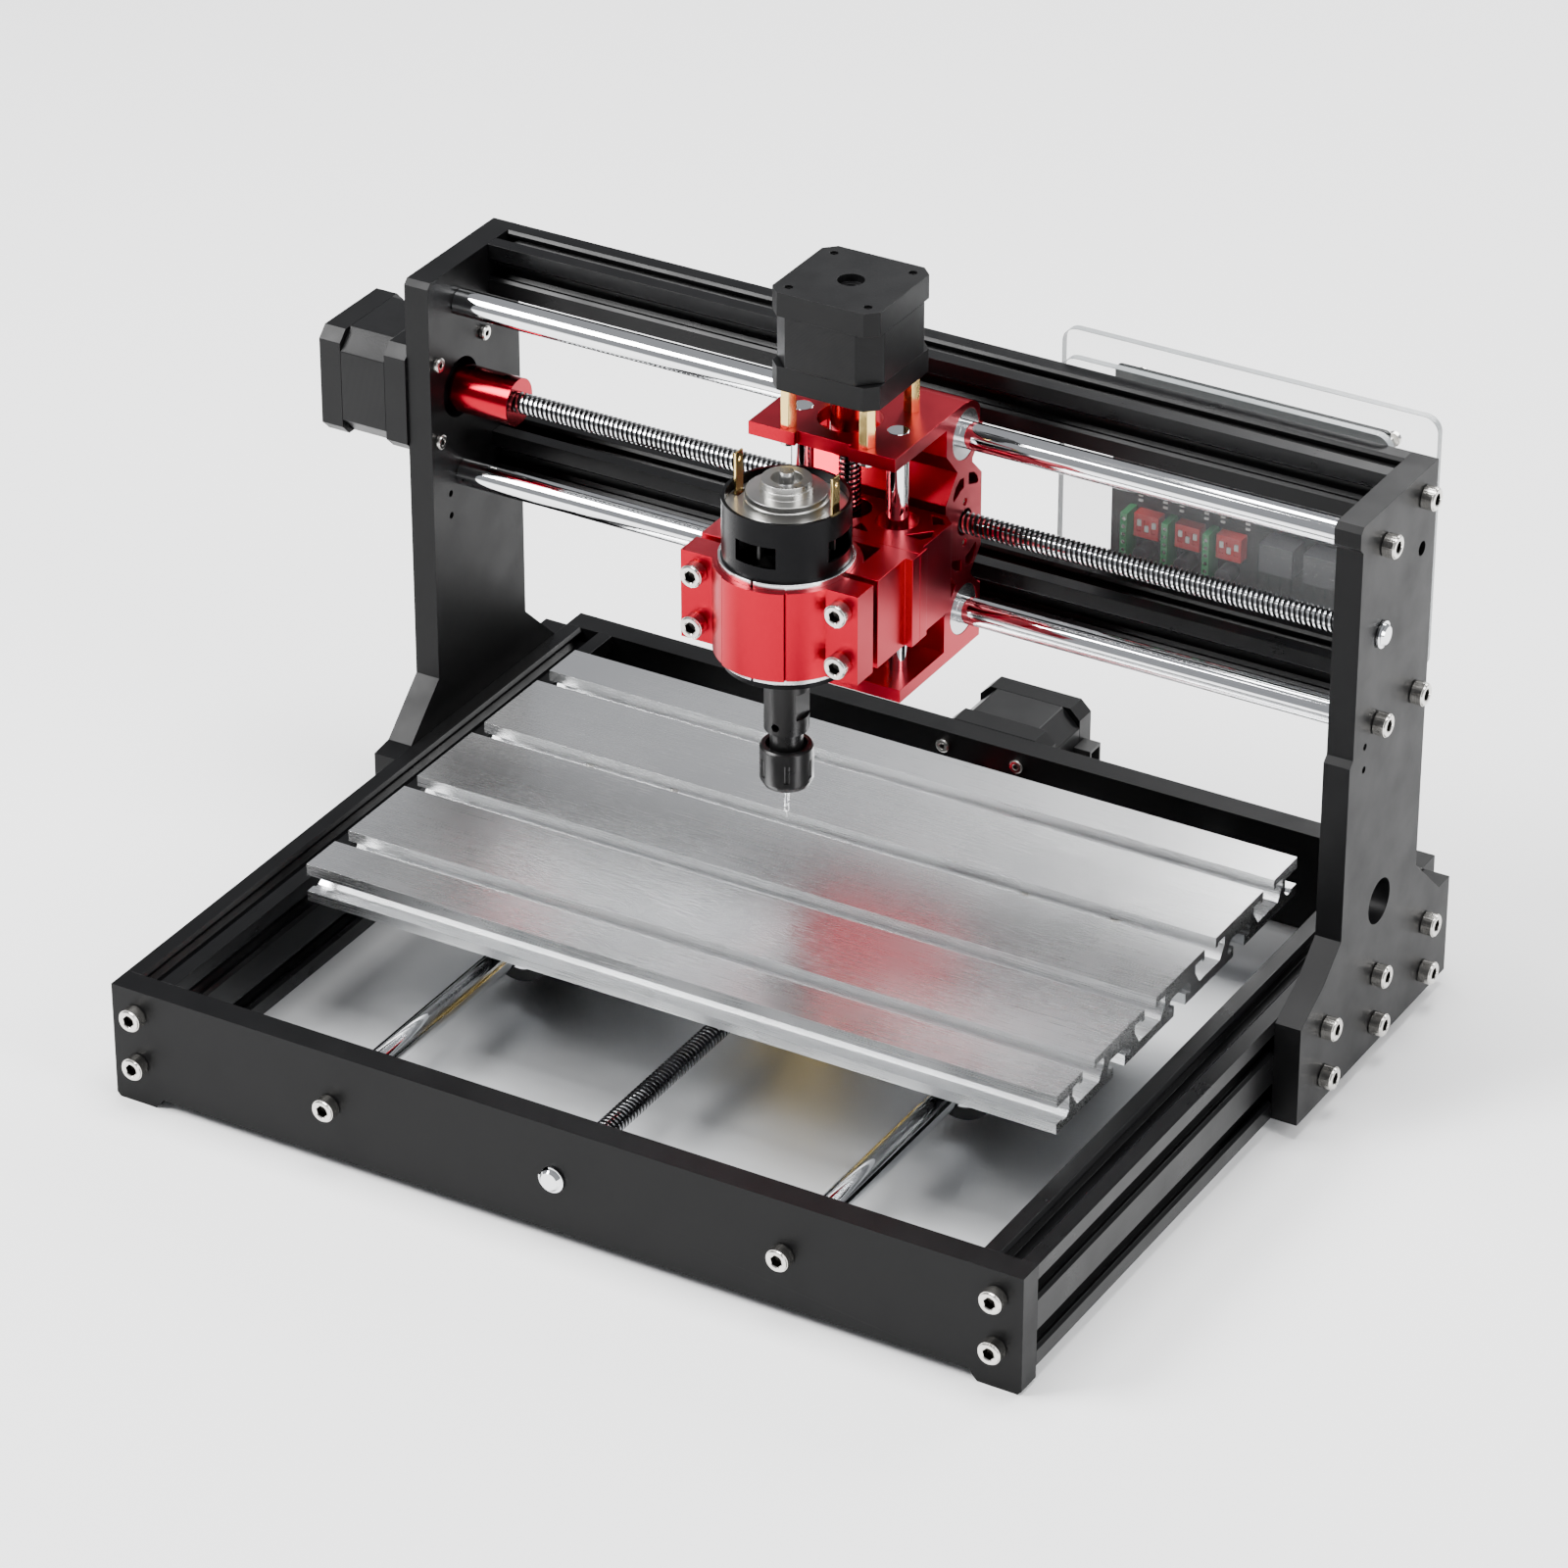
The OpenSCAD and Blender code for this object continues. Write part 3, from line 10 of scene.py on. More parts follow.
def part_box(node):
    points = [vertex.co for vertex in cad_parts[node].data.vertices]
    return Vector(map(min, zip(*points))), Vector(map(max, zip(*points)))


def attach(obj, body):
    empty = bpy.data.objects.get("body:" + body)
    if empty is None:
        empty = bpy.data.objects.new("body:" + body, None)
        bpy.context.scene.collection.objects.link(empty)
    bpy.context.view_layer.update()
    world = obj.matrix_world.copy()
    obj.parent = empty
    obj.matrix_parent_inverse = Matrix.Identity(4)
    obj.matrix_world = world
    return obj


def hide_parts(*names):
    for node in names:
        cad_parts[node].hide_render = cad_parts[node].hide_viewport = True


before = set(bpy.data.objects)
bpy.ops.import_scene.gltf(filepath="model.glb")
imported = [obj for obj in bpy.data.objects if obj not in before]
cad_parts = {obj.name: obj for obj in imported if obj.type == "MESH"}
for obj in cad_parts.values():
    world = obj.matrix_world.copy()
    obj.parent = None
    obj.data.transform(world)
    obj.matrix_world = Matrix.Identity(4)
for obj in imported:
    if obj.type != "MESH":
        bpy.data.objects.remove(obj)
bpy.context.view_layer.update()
MM = 0.001
X, Y, Z = Vector((1, 0, 0)), Vector((0, 1, 0)), Vector((0, 0, 1))


# ---- Places read from the frame ----


def low(node):
    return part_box(node)[0]


def high(node):
    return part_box(node)[1]


def middle(node):
    return (low(node) + high(node)) / 2


def size(node):
    return high(node) - low(node)


# ---- Materials ----


def link(tree, a, b):
    tree.links.new(a, b)


def texture_space(tree, scale):
    """Object coordinates, which are metres in the row frame, stretched by scale."""
    coords = tree.nodes.new("ShaderNodeTexCoord")
    mapping = tree.nodes.new("ShaderNodeMapping")
    mapping.inputs["Scale"].default_value = scale
    link(tree, coords.outputs["Object"], mapping.inputs["Vector"])
    return mapping.outputs["Vector"]


def noise(tree, scale, detail=3.0, roughness=0.55):
    texture = tree.nodes.new("ShaderNodeTexNoise")
    texture.inputs["Scale"].default_value = 1.0
    texture.inputs["Detail"].default_value = detail
    texture.inputs["Roughness"].default_value = roughness
    link(tree, texture_space(tree, scale), texture.inputs["Vector"])
    return texture.outputs["Fac"]


def spread(tree, value, low_out, high_out, low_in=0.3, high_in=0.7):
    """Maps a noise value to a range."""
    node = tree.nodes.new("ShaderNodeMapRange")
    node.inputs["From Min"].default_value = low_in
    node.inputs["From Max"].default_value = high_in
    node.inputs["To Min"].default_value = low_out
    node.inputs["To Max"].default_value = high_out
    link(tree, value, node.inputs["Value"])
    return node.outputs["Result"]


def blend_colour(tree, factor, first, second):
    node = tree.nodes.new("ShaderNodeMix")
    node.data_type = "RGBA"
    node.inputs["A"].default_value = (*first, 1)
    node.inputs["B"].default_value = (*second, 1)
    link(tree, factor, node.inputs["Factor"])
    return node.outputs["Result"]


def bump(tree, height, depth, strength=1.0, normal=None):
    node = tree.nodes.new("ShaderNodeBump")
    node.inputs["Distance"].default_value = depth
    node.inputs["Strength"].default_value = strength
    link(tree, height, node.inputs["Height"])
    if normal is not None:
        link(tree, normal, node.inputs["Normal"])
    return node.outputs["Normal"]


def stretch(along, fine, long):
    """Noise scale that draws lines along one axis: fine across it, long down it."""
    return tuple(long if axis == along else fine for axis in "xyz")


def material(name, colours, metallic, rough, patch=60.0, grain=None, lines=None, **shader):
    """A surface with slow colour patches, a fine grain and, on worked metal, lines along one axis.

    colours and rough are each two ends of a range. grain is (scale, depth), lines is (axis, scale, depth).
    """
    made = bpy.data.materials.new(name)
    made.use_nodes = True
    tree = made.node_tree
    surface = tree.nodes["Principled BSDF"]
    clouds = noise(tree, (patch,) * 3, 4.0)
    link(tree, blend_colour(tree, clouds, *colours), surface.inputs["Base Color"])
    roughness = spread(tree, clouds, *rough)
    normal = None
    if lines:
        axis, scale, depth = lines
        streaks = noise(tree, stretch(axis, scale, scale / 90), 5.0, 0.7)
        add = tree.nodes.new("ShaderNodeMath")
        add.operation = "ADD"
        link(tree, roughness, add.inputs[0])
        link(tree, spread(tree, streaks, -0.015, 0.02), add.inputs[1])
        roughness = add.outputs["Value"]
        normal = bump(tree, streaks, depth)
    if grain:
        scale, depth = grain
        normal = bump(tree, noise(tree, (scale,) * 3, 2.0), depth, normal=normal)
    link(tree, roughness, surface.inputs["Roughness"])
    if normal is not None:
        link(tree, normal, surface.inputs["Normal"])
    surface.inputs["Metallic"].default_value = metallic
    for key, value in shader.items():
        surface.inputs[key.replace("_", " ")].default_value = value
    return made


# A wave texture of scale 1 has this many metres to a band.
WAVE_BAND = 0.314


def laminated(name, colours, rough, axis, pitch):
    """Thin stacked sheets: dark lines square to the axis."""
    made = material(name, colours, 0.0, rough, grain=(2500, 0.00001), **DULL)
    tree = made.node_tree
    surface = tree.nodes["Principled BSDF"]
    wave = tree.nodes.new("ShaderNodeTexWave")
    wave.bands_direction = axis.upper()
    wave.inputs["Scale"].default_value = WAVE_BAND / pitch
    link(tree, texture_space(tree, (1, 1, 1)), wave.inputs["Vector"])
    link(tree, bump(tree, wave.outputs["Fac"], 0.00003), surface.inputs["Normal"])
    return made


def turned_face(name, colours, rough, centre, ring_scale, depth):
    """Faced on a lathe: fine rings round the spindle axis."""
    made = material(name, colours, 1.0, rough)
    tree = made.node_tree
    surface = tree.nodes["Principled BSDF"]
    coords = tree.nodes.new("ShaderNodeTexCoord")
    shift = tree.nodes.new("ShaderNodeVectorMath")
    shift.operation = "SUBTRACT"
    shift.inputs[1].default_value = (centre.x, centre.y, 0)
    link(tree, coords.outputs["Object"], shift.inputs[0])
    flat = tree.nodes.new("ShaderNodeVectorMath")
    flat.operation = "MULTIPLY"
    flat.inputs[1].default_value = (1, 1, 0.3)
    link(tree, shift.outputs["Vector"], flat.inputs[0])
    reach = tree.nodes.new("ShaderNodeVectorMath")
    reach.operation = "LENGTH"
    link(tree, flat.outputs["Vector"], reach.inputs[0])
    rings = tree.nodes.new("ShaderNodeTexNoise")
    rings.noise_dimensions = "1D"
    rings.inputs["Scale"].default_value = ring_scale
    rings.inputs["Detail"].default_value = 3.0
    link(tree, reach.outputs["Value"], rings.inputs["W"])
    link(tree, bump(tree, rings.outputs["Fac"], depth), surface.inputs["Normal"])
    return made


# Shine of bare black finishes, below the usual plastic.
DULL = {"Specular_IOR_Level": 0.18}

PAINT = material("black_paint", ((0.0018, 0.0018, 0.002), (0.0032, 0.0032, 0.0035)), 0.0, (0.36, 0.46),
                 grain=(2600, 0.000012), **{"Specular_IOR_Level": 0.15})
RAIL_X, RAIL_Y = (
    material("anodised_black_" + axis, ((0.0022, 0.0022, 0.0024), (0.004, 0.004, 0.0043)), 0.1, (0.26, 0.36),
             lines=(axis, 1700, 0.000008), grain=(3000, 0.00001), **DULL)
    for axis in "xy"
)
RED = material("red_anodised", ((0.36, 0.003, 0.018), (0.44, 0.005, 0.023)), 1.0, (0.28, 0.34),
               grain=(3600, 0.000002))
RED_TURNED = material("red_turned", ((0.31, 0.0025, 0.015), (0.41, 0.004, 0.020)), 1.0, (0.16, 0.24),
                      grain=(3600, 0.000008))
TABLE = material("table_aluminium", ((0.84, 0.845, 0.85), (0.91, 0.915, 0.92)), 1.0, (0.25, 0.29), patch=14,
                 lines=("x", 2600, 0.0000015))
# Grey brushed sheet inside the base frame, where only the floor lies in shade: a sheet put in as painted
# shade.
FLOOR_SHADE_SHEET = material("base_sheet", ((0.70, 0.71, 0.72), (0.82, 0.83, 0.84)), 1.0, (0.44, 0.54), patch=9,
                 lines=("x", 1600, 0.000002))
CHROME = material("hard_chrome", ((0.84, 0.85, 0.87), (0.92, 0.93, 0.94)), 1.0, (0.04, 0.08),
                  grain=(900, 0.000003))
# Near black steel on the flanks and roots of the lead-screw threads: painted shade in the thread grooves.
GROOVE_SHADE = material("thread_groove_painted_shade", ((0.035, 0.035, 0.036), (0.07, 0.07, 0.072)), 1.0, (0.24, 0.34),
                  grain=(2200, 0.00001))
STEEL = material("turned_steel", ((0.62, 0.62, 0.63), (0.74, 0.74, 0.75)), 1.0, (0.18, 0.28),
                 grain=(3200, 0.000006))
SATIN = material("satin_end_cap", ((0.42, 0.415, 0.40), (0.50, 0.495, 0.48)), 1.0, (0.27, 0.33),
                 grain=(3200, 0.000002))
NICKEL = material("nickel_bolts", ((0.66, 0.64, 0.60), (0.78, 0.76, 0.72)), 1.0, (0.17, 0.27),
                  grain=(2600, 0.00001))
# Dark steel for the walls and floor of the hex sockets: painted shade inside the sockets.
SOCKET_SHADE = material("screw_socket_painted_shade", ((0.05, 0.046, 0.04), (0.10, 0.094, 0.085)), 1.0, (0.30, 0.42),
                  grain=(2600, 0.00001))
BRASS = material("brass", ((0.76, 0.52, 0.17), (0.88, 0.66, 0.28)), 1.0, (0.13, 0.22), grain=(1800, 0.00001))
PLASTIC = material("black_plastic", ((0.008, 0.008, 0.008), (0.014, 0.014, 0.014)), 0.0, (0.42, 0.55),
                   grain=(2200, 0.00003))
BLACKED = material("blacked_steel", ((0.010, 0.010, 0.011), (0.022, 0.021, 0.020)), 0.7, (0.26, 0.36),
                   grain=(2400, 0.00001))
# Near black rotor core, so the openings of the spindle can look dark: painted shade inside the motor.
SHADED_ROTOR_CORE = material("rotor_core_painted_shade", ((0.004, 0.004, 0.004), (0.010, 0.009, 0.008)), 0.2, (0.40, 0.55),
                     grain=(1500, 0.00003))
CAN = turned_face("spindle_can_paint", ((0.006, 0.006, 0.0065), (0.012, 0.012, 0.0125)), (0.26, 0.34),
                  middle("spindle_can"), 1500, 0.000002)
MOTOR_BLACK = ((0.0025, 0.0025, 0.0027), (0.0045, 0.0045, 0.0048))
MOTOR_CAP = material("motor_cap", MOTOR_BLACK, 0.05, (0.36, 0.48), grain=(1900, 0.00003), **DULL)
STACK_X, STACK_Z = (
    laminated("motor_stack_" + axis, MOTOR_BLACK, (0.34, 0.46), axis, 0.5 * MM) for axis in "xz"
)
CLEAR = material("clear_sheet", ((0.92, 0.95, 0.96), (0.97, 0.99, 0.99)), 0.0, (0.03, 0.06),
                 **{"Transmission_Weight": 0.0, "Alpha": 0.07, "IOR": 1.49})
# Grey, mostly opaque band for the edges of the clear sheets: painted shade along their edges.
CLEAR_EDGE_SHADE = material("clear_sheet_edge_painted_shade", ((0.20, 0.22, 0.225), (0.34, 0.36, 0.37)), 0.0, (0.16, 0.26),
                      grain=(900, 0.00002), **{"Alpha": 0.75})
LAMINATE = material("board_laminate", ((0.003, 0.004, 0.004), (0.007, 0.010, 0.0095)), 0.0, (0.30, 0.38),
                    patch=40, grain=(1600, 0.000006))
COPPER_TRACK = material("board_track", ((0.016, 0.028, 0.026), (0.026, 0.040, 0.038)), 0.0, (0.20, 0.30),
                        grain=(1800, 0.00001))
RED_PLASTIC = material("red_plastic", ((0.52, 0.012, 0.012), (0.62, 0.02, 0.02)), 0.0, (0.28, 0.36),
                       grain=(2600, 0.00001))
GREEN_PLASTIC = material("green_plastic", ((0.02, 0.22, 0.07), (0.035, 0.30, 0.10)), 0.0, (0.32, 0.42),
                         grain=(2600, 0.00001))
PALE_PLASTIC = material("pale_plastic", ((0.72, 0.71, 0.68), (0.80, 0.79, 0.76)), 0.0, (0.38, 0.48),
                        grain=(2600, 0.00001))
GREY_PLASTIC = material("grey_plastic", ((0.03, 0.03, 0.034), (0.05, 0.05, 0.055)), 0.0, (0.34, 0.46),
                        grain=(2600, 0.00001))

NODE_MATERIALS = {
    "front_plate": PAINT, "rear_plate": PAINT, "side_rails": RAIL_Y, "base_sheet": FLOOR_SHADE_SHEET,
    "left_gantry_plate": PAINT, "right_gantry_plate": PAINT, "gantry_beams": RAIL_X,
    "guide_rods": CHROME, "base_bolts": NICKEL, "gantry_bolts": NICKEL, "slot_nuts": STEEL,
    "motor_screws": NICKEL, "screw_bearings": STEEL, "frame_motor_caps": MOTOR_CAP,
    "frame_motor_stators": STACK_X, "motor_sockets": PLASTIC, "board_mount_sheet": CLEAR,
    "board_cover_sheet": CLEAR, "circuit_board": LAMINATE, "dip_switches": RED_PLASTIC,
    "terminal_strips": GREEN_PLASTIC, "board_components": GREY_PLASTIC, "board_standoffs": NICKEL,
    "x_coupler": RED_TURNED, "y_coupler": RED_TURNED, "z_coupler": RED_TURNED,
    "table_plate": TABLE, "table_blocks": PAINT, "table_bearings": STEEL, "table_nut": BRASS,
    "table_screws": NICKEL, "carriage_body": RED, "carriage_bearings": STEEL, "x_nut": BRASS,
    "carriage_screws": NICKEL, "z_rods": CHROME, "z_motor_caps": MOTOR_CAP, "z_motor_stator": STACK_Z,
    "z_standoffs": BRASS, "z_block": RED, "z_bearings": STEEL, "z_nut": BRASS, "spindle_holder": RED,
    "spindle_clamp": RED, "clamp_bolts": NICKEL, "flux_ring": STEEL, "spindle_can": CAN,
    "spindle_end_cap": SATIN, "spindle_terminals": BRASS, "spindle_rotor_core": SHADED_ROTOR_CORE,
    "spindle_shaft": STEEL, "collet_holder": BLACKED, "collet_nut": BLACKED, "collet": STEEL,
}

# Width of the broken edges, in metres. Nodes not named here get none.
EDGES = {
    "front_plate": 0.0005, "rear_plate": 0.0005, "left_gantry_plate": 0.0005, "right_gantry_plate": 0.0005,
    "side_rails": 0.00025, "gantry_beams": 0.00025, "base_bolts": 0.00035, "gantry_bolts": 0.00035,
    "motor_screws": 0.0003, "frame_motor_caps": 0.0004, "z_motor_caps": 0.0004, "frame_motor_stators": 0.0003,
    "z_motor_stator": 0.0003, "x_coupler": 0.0004, "y_coupler": 0.0004, "z_coupler": 0.0004,
    "table_plate": 0.00025, "table_blocks": 0.0004, "carriage_body": 0.0004, "z_block": 0.0005,
    "spindle_holder": 0.0005, "spindle_clamp": 0.0005, "clamp_bolts": 0.0004, "flux_ring": 0.0003,
    "spindle_can": 0.0003, "spindle_end_cap": 0.0004, "collet_nut": 0.0003, "collet_holder": 0.0003,
    "z_standoffs": 0.0002, "board_standoffs": 0.0002, "table_screws": 0.0003, "table_nut": 0.0003,
    "board_components": 0.0003, "dip_switches": 0.0002, "terminal_strips": 0.0002, "motor_sockets": 0.0002,
    "carriage_bearings": 0.0002, "table_bearings": 0.0002, "z_bearings": 0.0002, "z_nut": 0.0003,
    "x_nut": 0.0003, "board_mount_sheet": 0.0003, "board_cover_sheet": 0.0003, "spindle_terminals": 0.0001,
    "base_sheet": 0.0002, "screw_bearings": 0.0002, "slot_nuts": 0.0002, "z_rods": 0.0004,
    "guide_rods": 0.0004,
}


# Faces that meet at a larger angle than this, in degrees, have an edge between them.
EDGE_ANGLE = 32
SAME_POINT = 0.001 * MM


def soften(piece, width, flat_angle=1.0):
    """Breaks the sharp edges of a piece by width, with modifiers, and evens its shading."""
    weld = piece.modifiers.new("weld", "WELD")
    weld.merge_threshold = SAME_POINT
    if flat_angle:
        flats = piece.modifiers.new("flats", "DECIMATE")
        flats.decimate_type = "DISSOLVE"
        flats.angle_limit = math.radians(flat_angle)
    bevel = piece.modifiers.new("edges", "BEVEL")
    bevel.width = width
    bevel.segments = 2
    bevel.limit_method = "ANGLE"
    bevel.angle_limit = math.radians(EDGE_ANGLE)
    bevel.miter_outer = "MITER_ARC"
    shading = piece.modifiers.new("shading", "WEIGHTED_NORMAL")
    shading.keep_sharp = False
    shading.weight = 60


for name, surface in NODE_MATERIALS.items():
    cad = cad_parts[name]
    cad.data.materials.clear()
    cad.data.materials.append(surface)
    if name in EDGES:
        soften(cad, EDGES[name])


# ---- Mesh builder ----


class Piece:
    """Collects solids into one mesh, in the row frame."""

    def __init__(self):
        self.mesh = bmesh.new()

    def box(self, lowest, highest):
        lowest, highest = Vector(lowest), Vector(highest)
        place = Matrix.Translation((lowest + highest) / 2)
        bmesh.ops.create_cube(self.mesh, size=1.0, matrix=place @ Matrix.Diagonal((*(highest - lowest), 1)))

    def turned(self, profile, origin, axis, segments=48):
        """Turns (distance along the axis, radius) pairs into a round solid. A radius of 0 closes it."""
        side = axis.orthogonal().normalized()
        other = axis.cross(side)
        rings = []
        for along, radius in profile:
            centre = Vector(origin) + axis * along
            if radius <= 0:
                rings.append([self.mesh.verts.new(centre)])
                continue
            rings.append([
                self.mesh.verts.new(centre + side * (radius * math.cos(a)) + other * (radius * math.sin(a)))
                for a in (2 * math.pi * i / segments for i in range(segments))
            ])
        self.skin(rings)

    def tube(self, rows, shade_from=None):
        """Joins rings of points into a skin. Bands from shade_from on take the second material, which carries
        painted shade.
        """
        self.skin([[self.mesh.verts.new(point) for point in row] for row in rows], shade_from)

    def skin(self, rings, shade_from=None):
        """Faces between neighbouring rings of vertices. A ring of one vertex closes the skin."""
        count = max(len(ring) for ring in rings)
        for band, (first, second) in enumerate(zip(rings, rings[1:])):
            for i in range(count):
                corners = [ring[k % len(ring)] for ring, k in (
                    (first, i), (first, (i + 1) % count), (second, (i + 1) % count), (second, i))]
                unique = list(dict.fromkeys(corners))
                if len(unique) > 2:
                    face = self.mesh.faces.new(unique)
                    face.material_index = int(shade_from is not None and band >= shade_from)

    def done(self, name, surface, body, replaces=(), slot=None, edge=0.0, sharp=EDGE_ANGLE,
             recess_shade=None):
        """Makes the object. recess_shade is its second material, the painted shade of grooves and sockets."""
        bmesh.ops.recalc_face_normals(self.mesh, faces=self.mesh.faces)
        data = bpy.data.meshes.new(name)
        self.mesh.to_mesh(data)
        self.mesh.free()
        piece = bpy.data.objects.new(name, data)
        bpy.context.scene.collection.objects.link(piece)
        data.materials.append(surface)
        if recess_shade:
            data.materials.append(recess_shade)
        data.polygons.foreach_set("use_smooth", [True] * len(data.polygons))
        data.set_sharp_from_angle(angle=math.radians(sharp))
        if edge:
            soften(piece, edge, flat_angle=0)
        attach(piece, body)
        if replaces:
            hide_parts(*replaces)


# ---- Lead screws ----

PITCH = 2 * MM
STARTS = 2
THREAD_DEPTH = 0.7 * MM
THREAD_STEPS = 24
# Shares of one pitch taken by the crest and by each flank.
CREST = 0.34
FLANK = 0.18


def thread_radius(phase, outer):
    """Trapezoid thread: phase runs from 0 to 1 over one pitch."""
    if phase < CREST:
        return outer
    if phase < CREST + FLANK:
        return outer - THREAD_DEPTH * (phase - CREST) / FLANK
    if phase < 1 - FLANK:
        return outer - THREAD_DEPTH
    return outer - THREAD_DEPTH * (1 - phase) / FLANK


def add_thread(piece, start, axis, length, outer):
    """A threaded rod from start along axis, with plain chamfered ends."""
    side = axis.orthogonal().normalized()
    other = axis.cross(side)
    phases = [0.0, CREST, CREST + FLANK, 1 - FLANK]
    lead = PITCH * STARTS
    turns = int(length / PITCH) + STARTS + 1
    rows = []
    for pitch_index in range(-STARTS, turns):
        for phase in phases:
            rows.append((pitch_index + phase, thread_radius(phase, outer)))
    grid = []
    for position, radius in rows:
        ring = []
        for k in range(THREAD_STEPS + 1):
            angle = 2 * math.pi * k / THREAD_STEPS
            along = position * PITCH + lead * k / THREAD_STEPS
            inside = min(max(along, 0.0), length)
            edge = min(inside, length - inside)
            limit = outer - THREAD_DEPTH + edge
            r = min(radius, limit) if 0 < along < length else outer - THREAD_DEPTH
            centre = Vector(start) + axis * inside
            point = centre + side * (r * math.cos(angle)) + other * (r * math.sin(angle))
            ring.append(piece.mesh.verts.new(point))
        grid.append(ring)
    for row, (first, second) in enumerate(zip(grid, grid[1:])):
        for k in range(THREAD_STEPS):
            corners = [first[k], first[k + 1], second[k + 1], second[k]]
            lowest = min(c.co.dot(axis) for c in corners)
            highest = max(c.co.dot(axis) for c in corners)
            if highest - lowest > 1e-7:
                # Crest rows keep the first material; flanks and roots take the second, the painted shade of
                # the grooves.
                piece.mesh.faces.new(corners).material_index = int(row % len(phases) > 0)
    bmesh.ops.remove_doubles(piece.mesh, verts=piece.mesh.verts, dist=SAME_POINT)
    loose = [v for v in piece.mesh.verts if not v.link_faces]
    bmesh.ops.delete(piece.mesh, geom=loose, context="VERTS")
    rims = [e for e in piece.mesh.edges if e.is_boundary]
    bmesh.ops.holes_fill(piece.mesh, edges=rims, sides=0)


def add_clip(piece, centre, axis, bore, outer, thickness):
    """Open retaining ring, as a swept strip with a gap at the bottom."""
    side = axis.orthogonal().normalized()
    other = axis.cross(side)
    gap, steps = math.radians(70), 28
    rows = []
    for i in range(steps + 1):
        angle = -math.pi / 2 + gap / 2 + (2 * math.pi - gap) * i / steps
        direction = side * math.cos(angle) + other * math.sin(angle)
        rows.append([
            piece.mesh.verts.new(centre + direction * r + axis * h)
            for r, h in ((bore, 0), (outer, 0), (outer, thickness), (bore, thickness))
        ])
    for first, second in zip(rows, rows[1:]):
        for k in range(4):
            m = (k + 1) % 4
            piece.mesh.faces.new([first[k], first[m], second[m], second[k]])
    piece.mesh.faces.new(rows[0])
    piece.mesh.faces.new(list(reversed(rows[-1])))


def motor_shaft_profile(length, radius):
    """A plain shaft with both ends chamfered."""
    chamfer = 0.4 * MM
    return [(0, 0), (0, radius - chamfer), (chamfer, radius), (length - chamfer, radius),
            (length, radius - chamfer), (length, 0)]


SCREW_R = 4 * MM
SHAFT_R = 2.5 * MM
# Plain end that runs in a frame bearing, and the place of its retaining ring.
STUB = 16 * MM
RING_GAP = 2.2 * MM
SHAFT_GAP = 0.5 * MM
AXES = {"x": X, "y": Y, "z": Z}


def lead_screw(axis_name, node, coupler, body, free_end):
    """Threaded rod, motor shaft and, on a frame screw, the plain end with its retaining ring."""
    piece = Piece()
    axis = AXES[axis_name]
    lowest, highest = low(node), high(node)
    centre = (low(coupler) + high(coupler)) / 2
    index = "xyz".index(axis_name)
    coupling = centre[index]
    ends = (lowest[index], highest[index])
    motor_end, far_end = (ends[0], ends[1]) if free_end > 0 else (ends[1], ends[0])
    away = axis * (1 if free_end > 0 else -1)

    def at(value):
        point = centre.copy()
        point[index] = value
        return point

    stub = STUB if axis_name != "z" else 0.0
    rod_end = far_end - (stub if free_end > 0 else -stub)
    add_thread(piece, at(coupling), away, abs(rod_end - coupling), SCREW_R)
    if stub:
        chamfer = 0.8 * MM
        piece.turned([(0, 0), (0, SCREW_R), (stub - chamfer, SCREW_R), (stub, SCREW_R - chamfer), (stub, 0)],
                     at(rod_end), away)
        add_clip(piece, at(far_end) - away * RING_GAP, away, SCREW_R, SCREW_R + 0.9 * MM, 0.8 * MM)
    length = abs(coupling - motor_end) - SHAFT_GAP
    piece.turned(motor_shaft_profile(length, SHAFT_R), at(motor_end), away)
    piece.done(node + "_threaded", CHROME, body, (node,), "chromed_steel", sharp=25, recess_shade=GROOVE_SHADE)


lead_screw("x", "x_lead_screw", "x_coupler", "x_screw", 1)
lead_screw("y", "y_lead_screw", "y_coupler", "y_screw", -1)
lead_screw("z", "z_lead_screw", "z_coupler", "z_screw", -1)


# ---- Grub screws in the couplers ----


GRUB_R = 1.42 * MM
GRUB_L = 1.7 * MM
GRUB_SINK = 2.2 * MM
GRUB_INSET = 5 * MM


def grub_screws(name, coupler, body, axis_name, facing):
    """Two set screws in a coupler, one near each end, sunk in its side."""
    piece = Piece()
    lowest, highest = low(coupler), high(coupler)
    index = "xyz".index(axis_name)
    radius = size(coupler)[(index + 1) % 3] / 2
    bevel, socket_r, socket_depth = 0.3 * MM, 0.8 * MM, 1.0 * MM
    profile = [(0, 0), (0, GRUB_R), (GRUB_L - bevel, GRUB_R), (GRUB_L, GRUB_R - 0.32 * MM),
               (GRUB_L, socket_r), (GRUB_L - socket_depth, socket_r - 0.05 * MM), (GRUB_L - socket_depth, 0)]
    for value in (lowest[index] + GRUB_INSET, highest[index] - GRUB_INSET):
        point = middle(coupler)
        point[index] = value
        piece.turned(profile, point + facing * (radius - GRUB_SINK), facing, 24)
    piece.done(name, BLACKED, body, slot="bright_steel")


# ---- Cutter ----


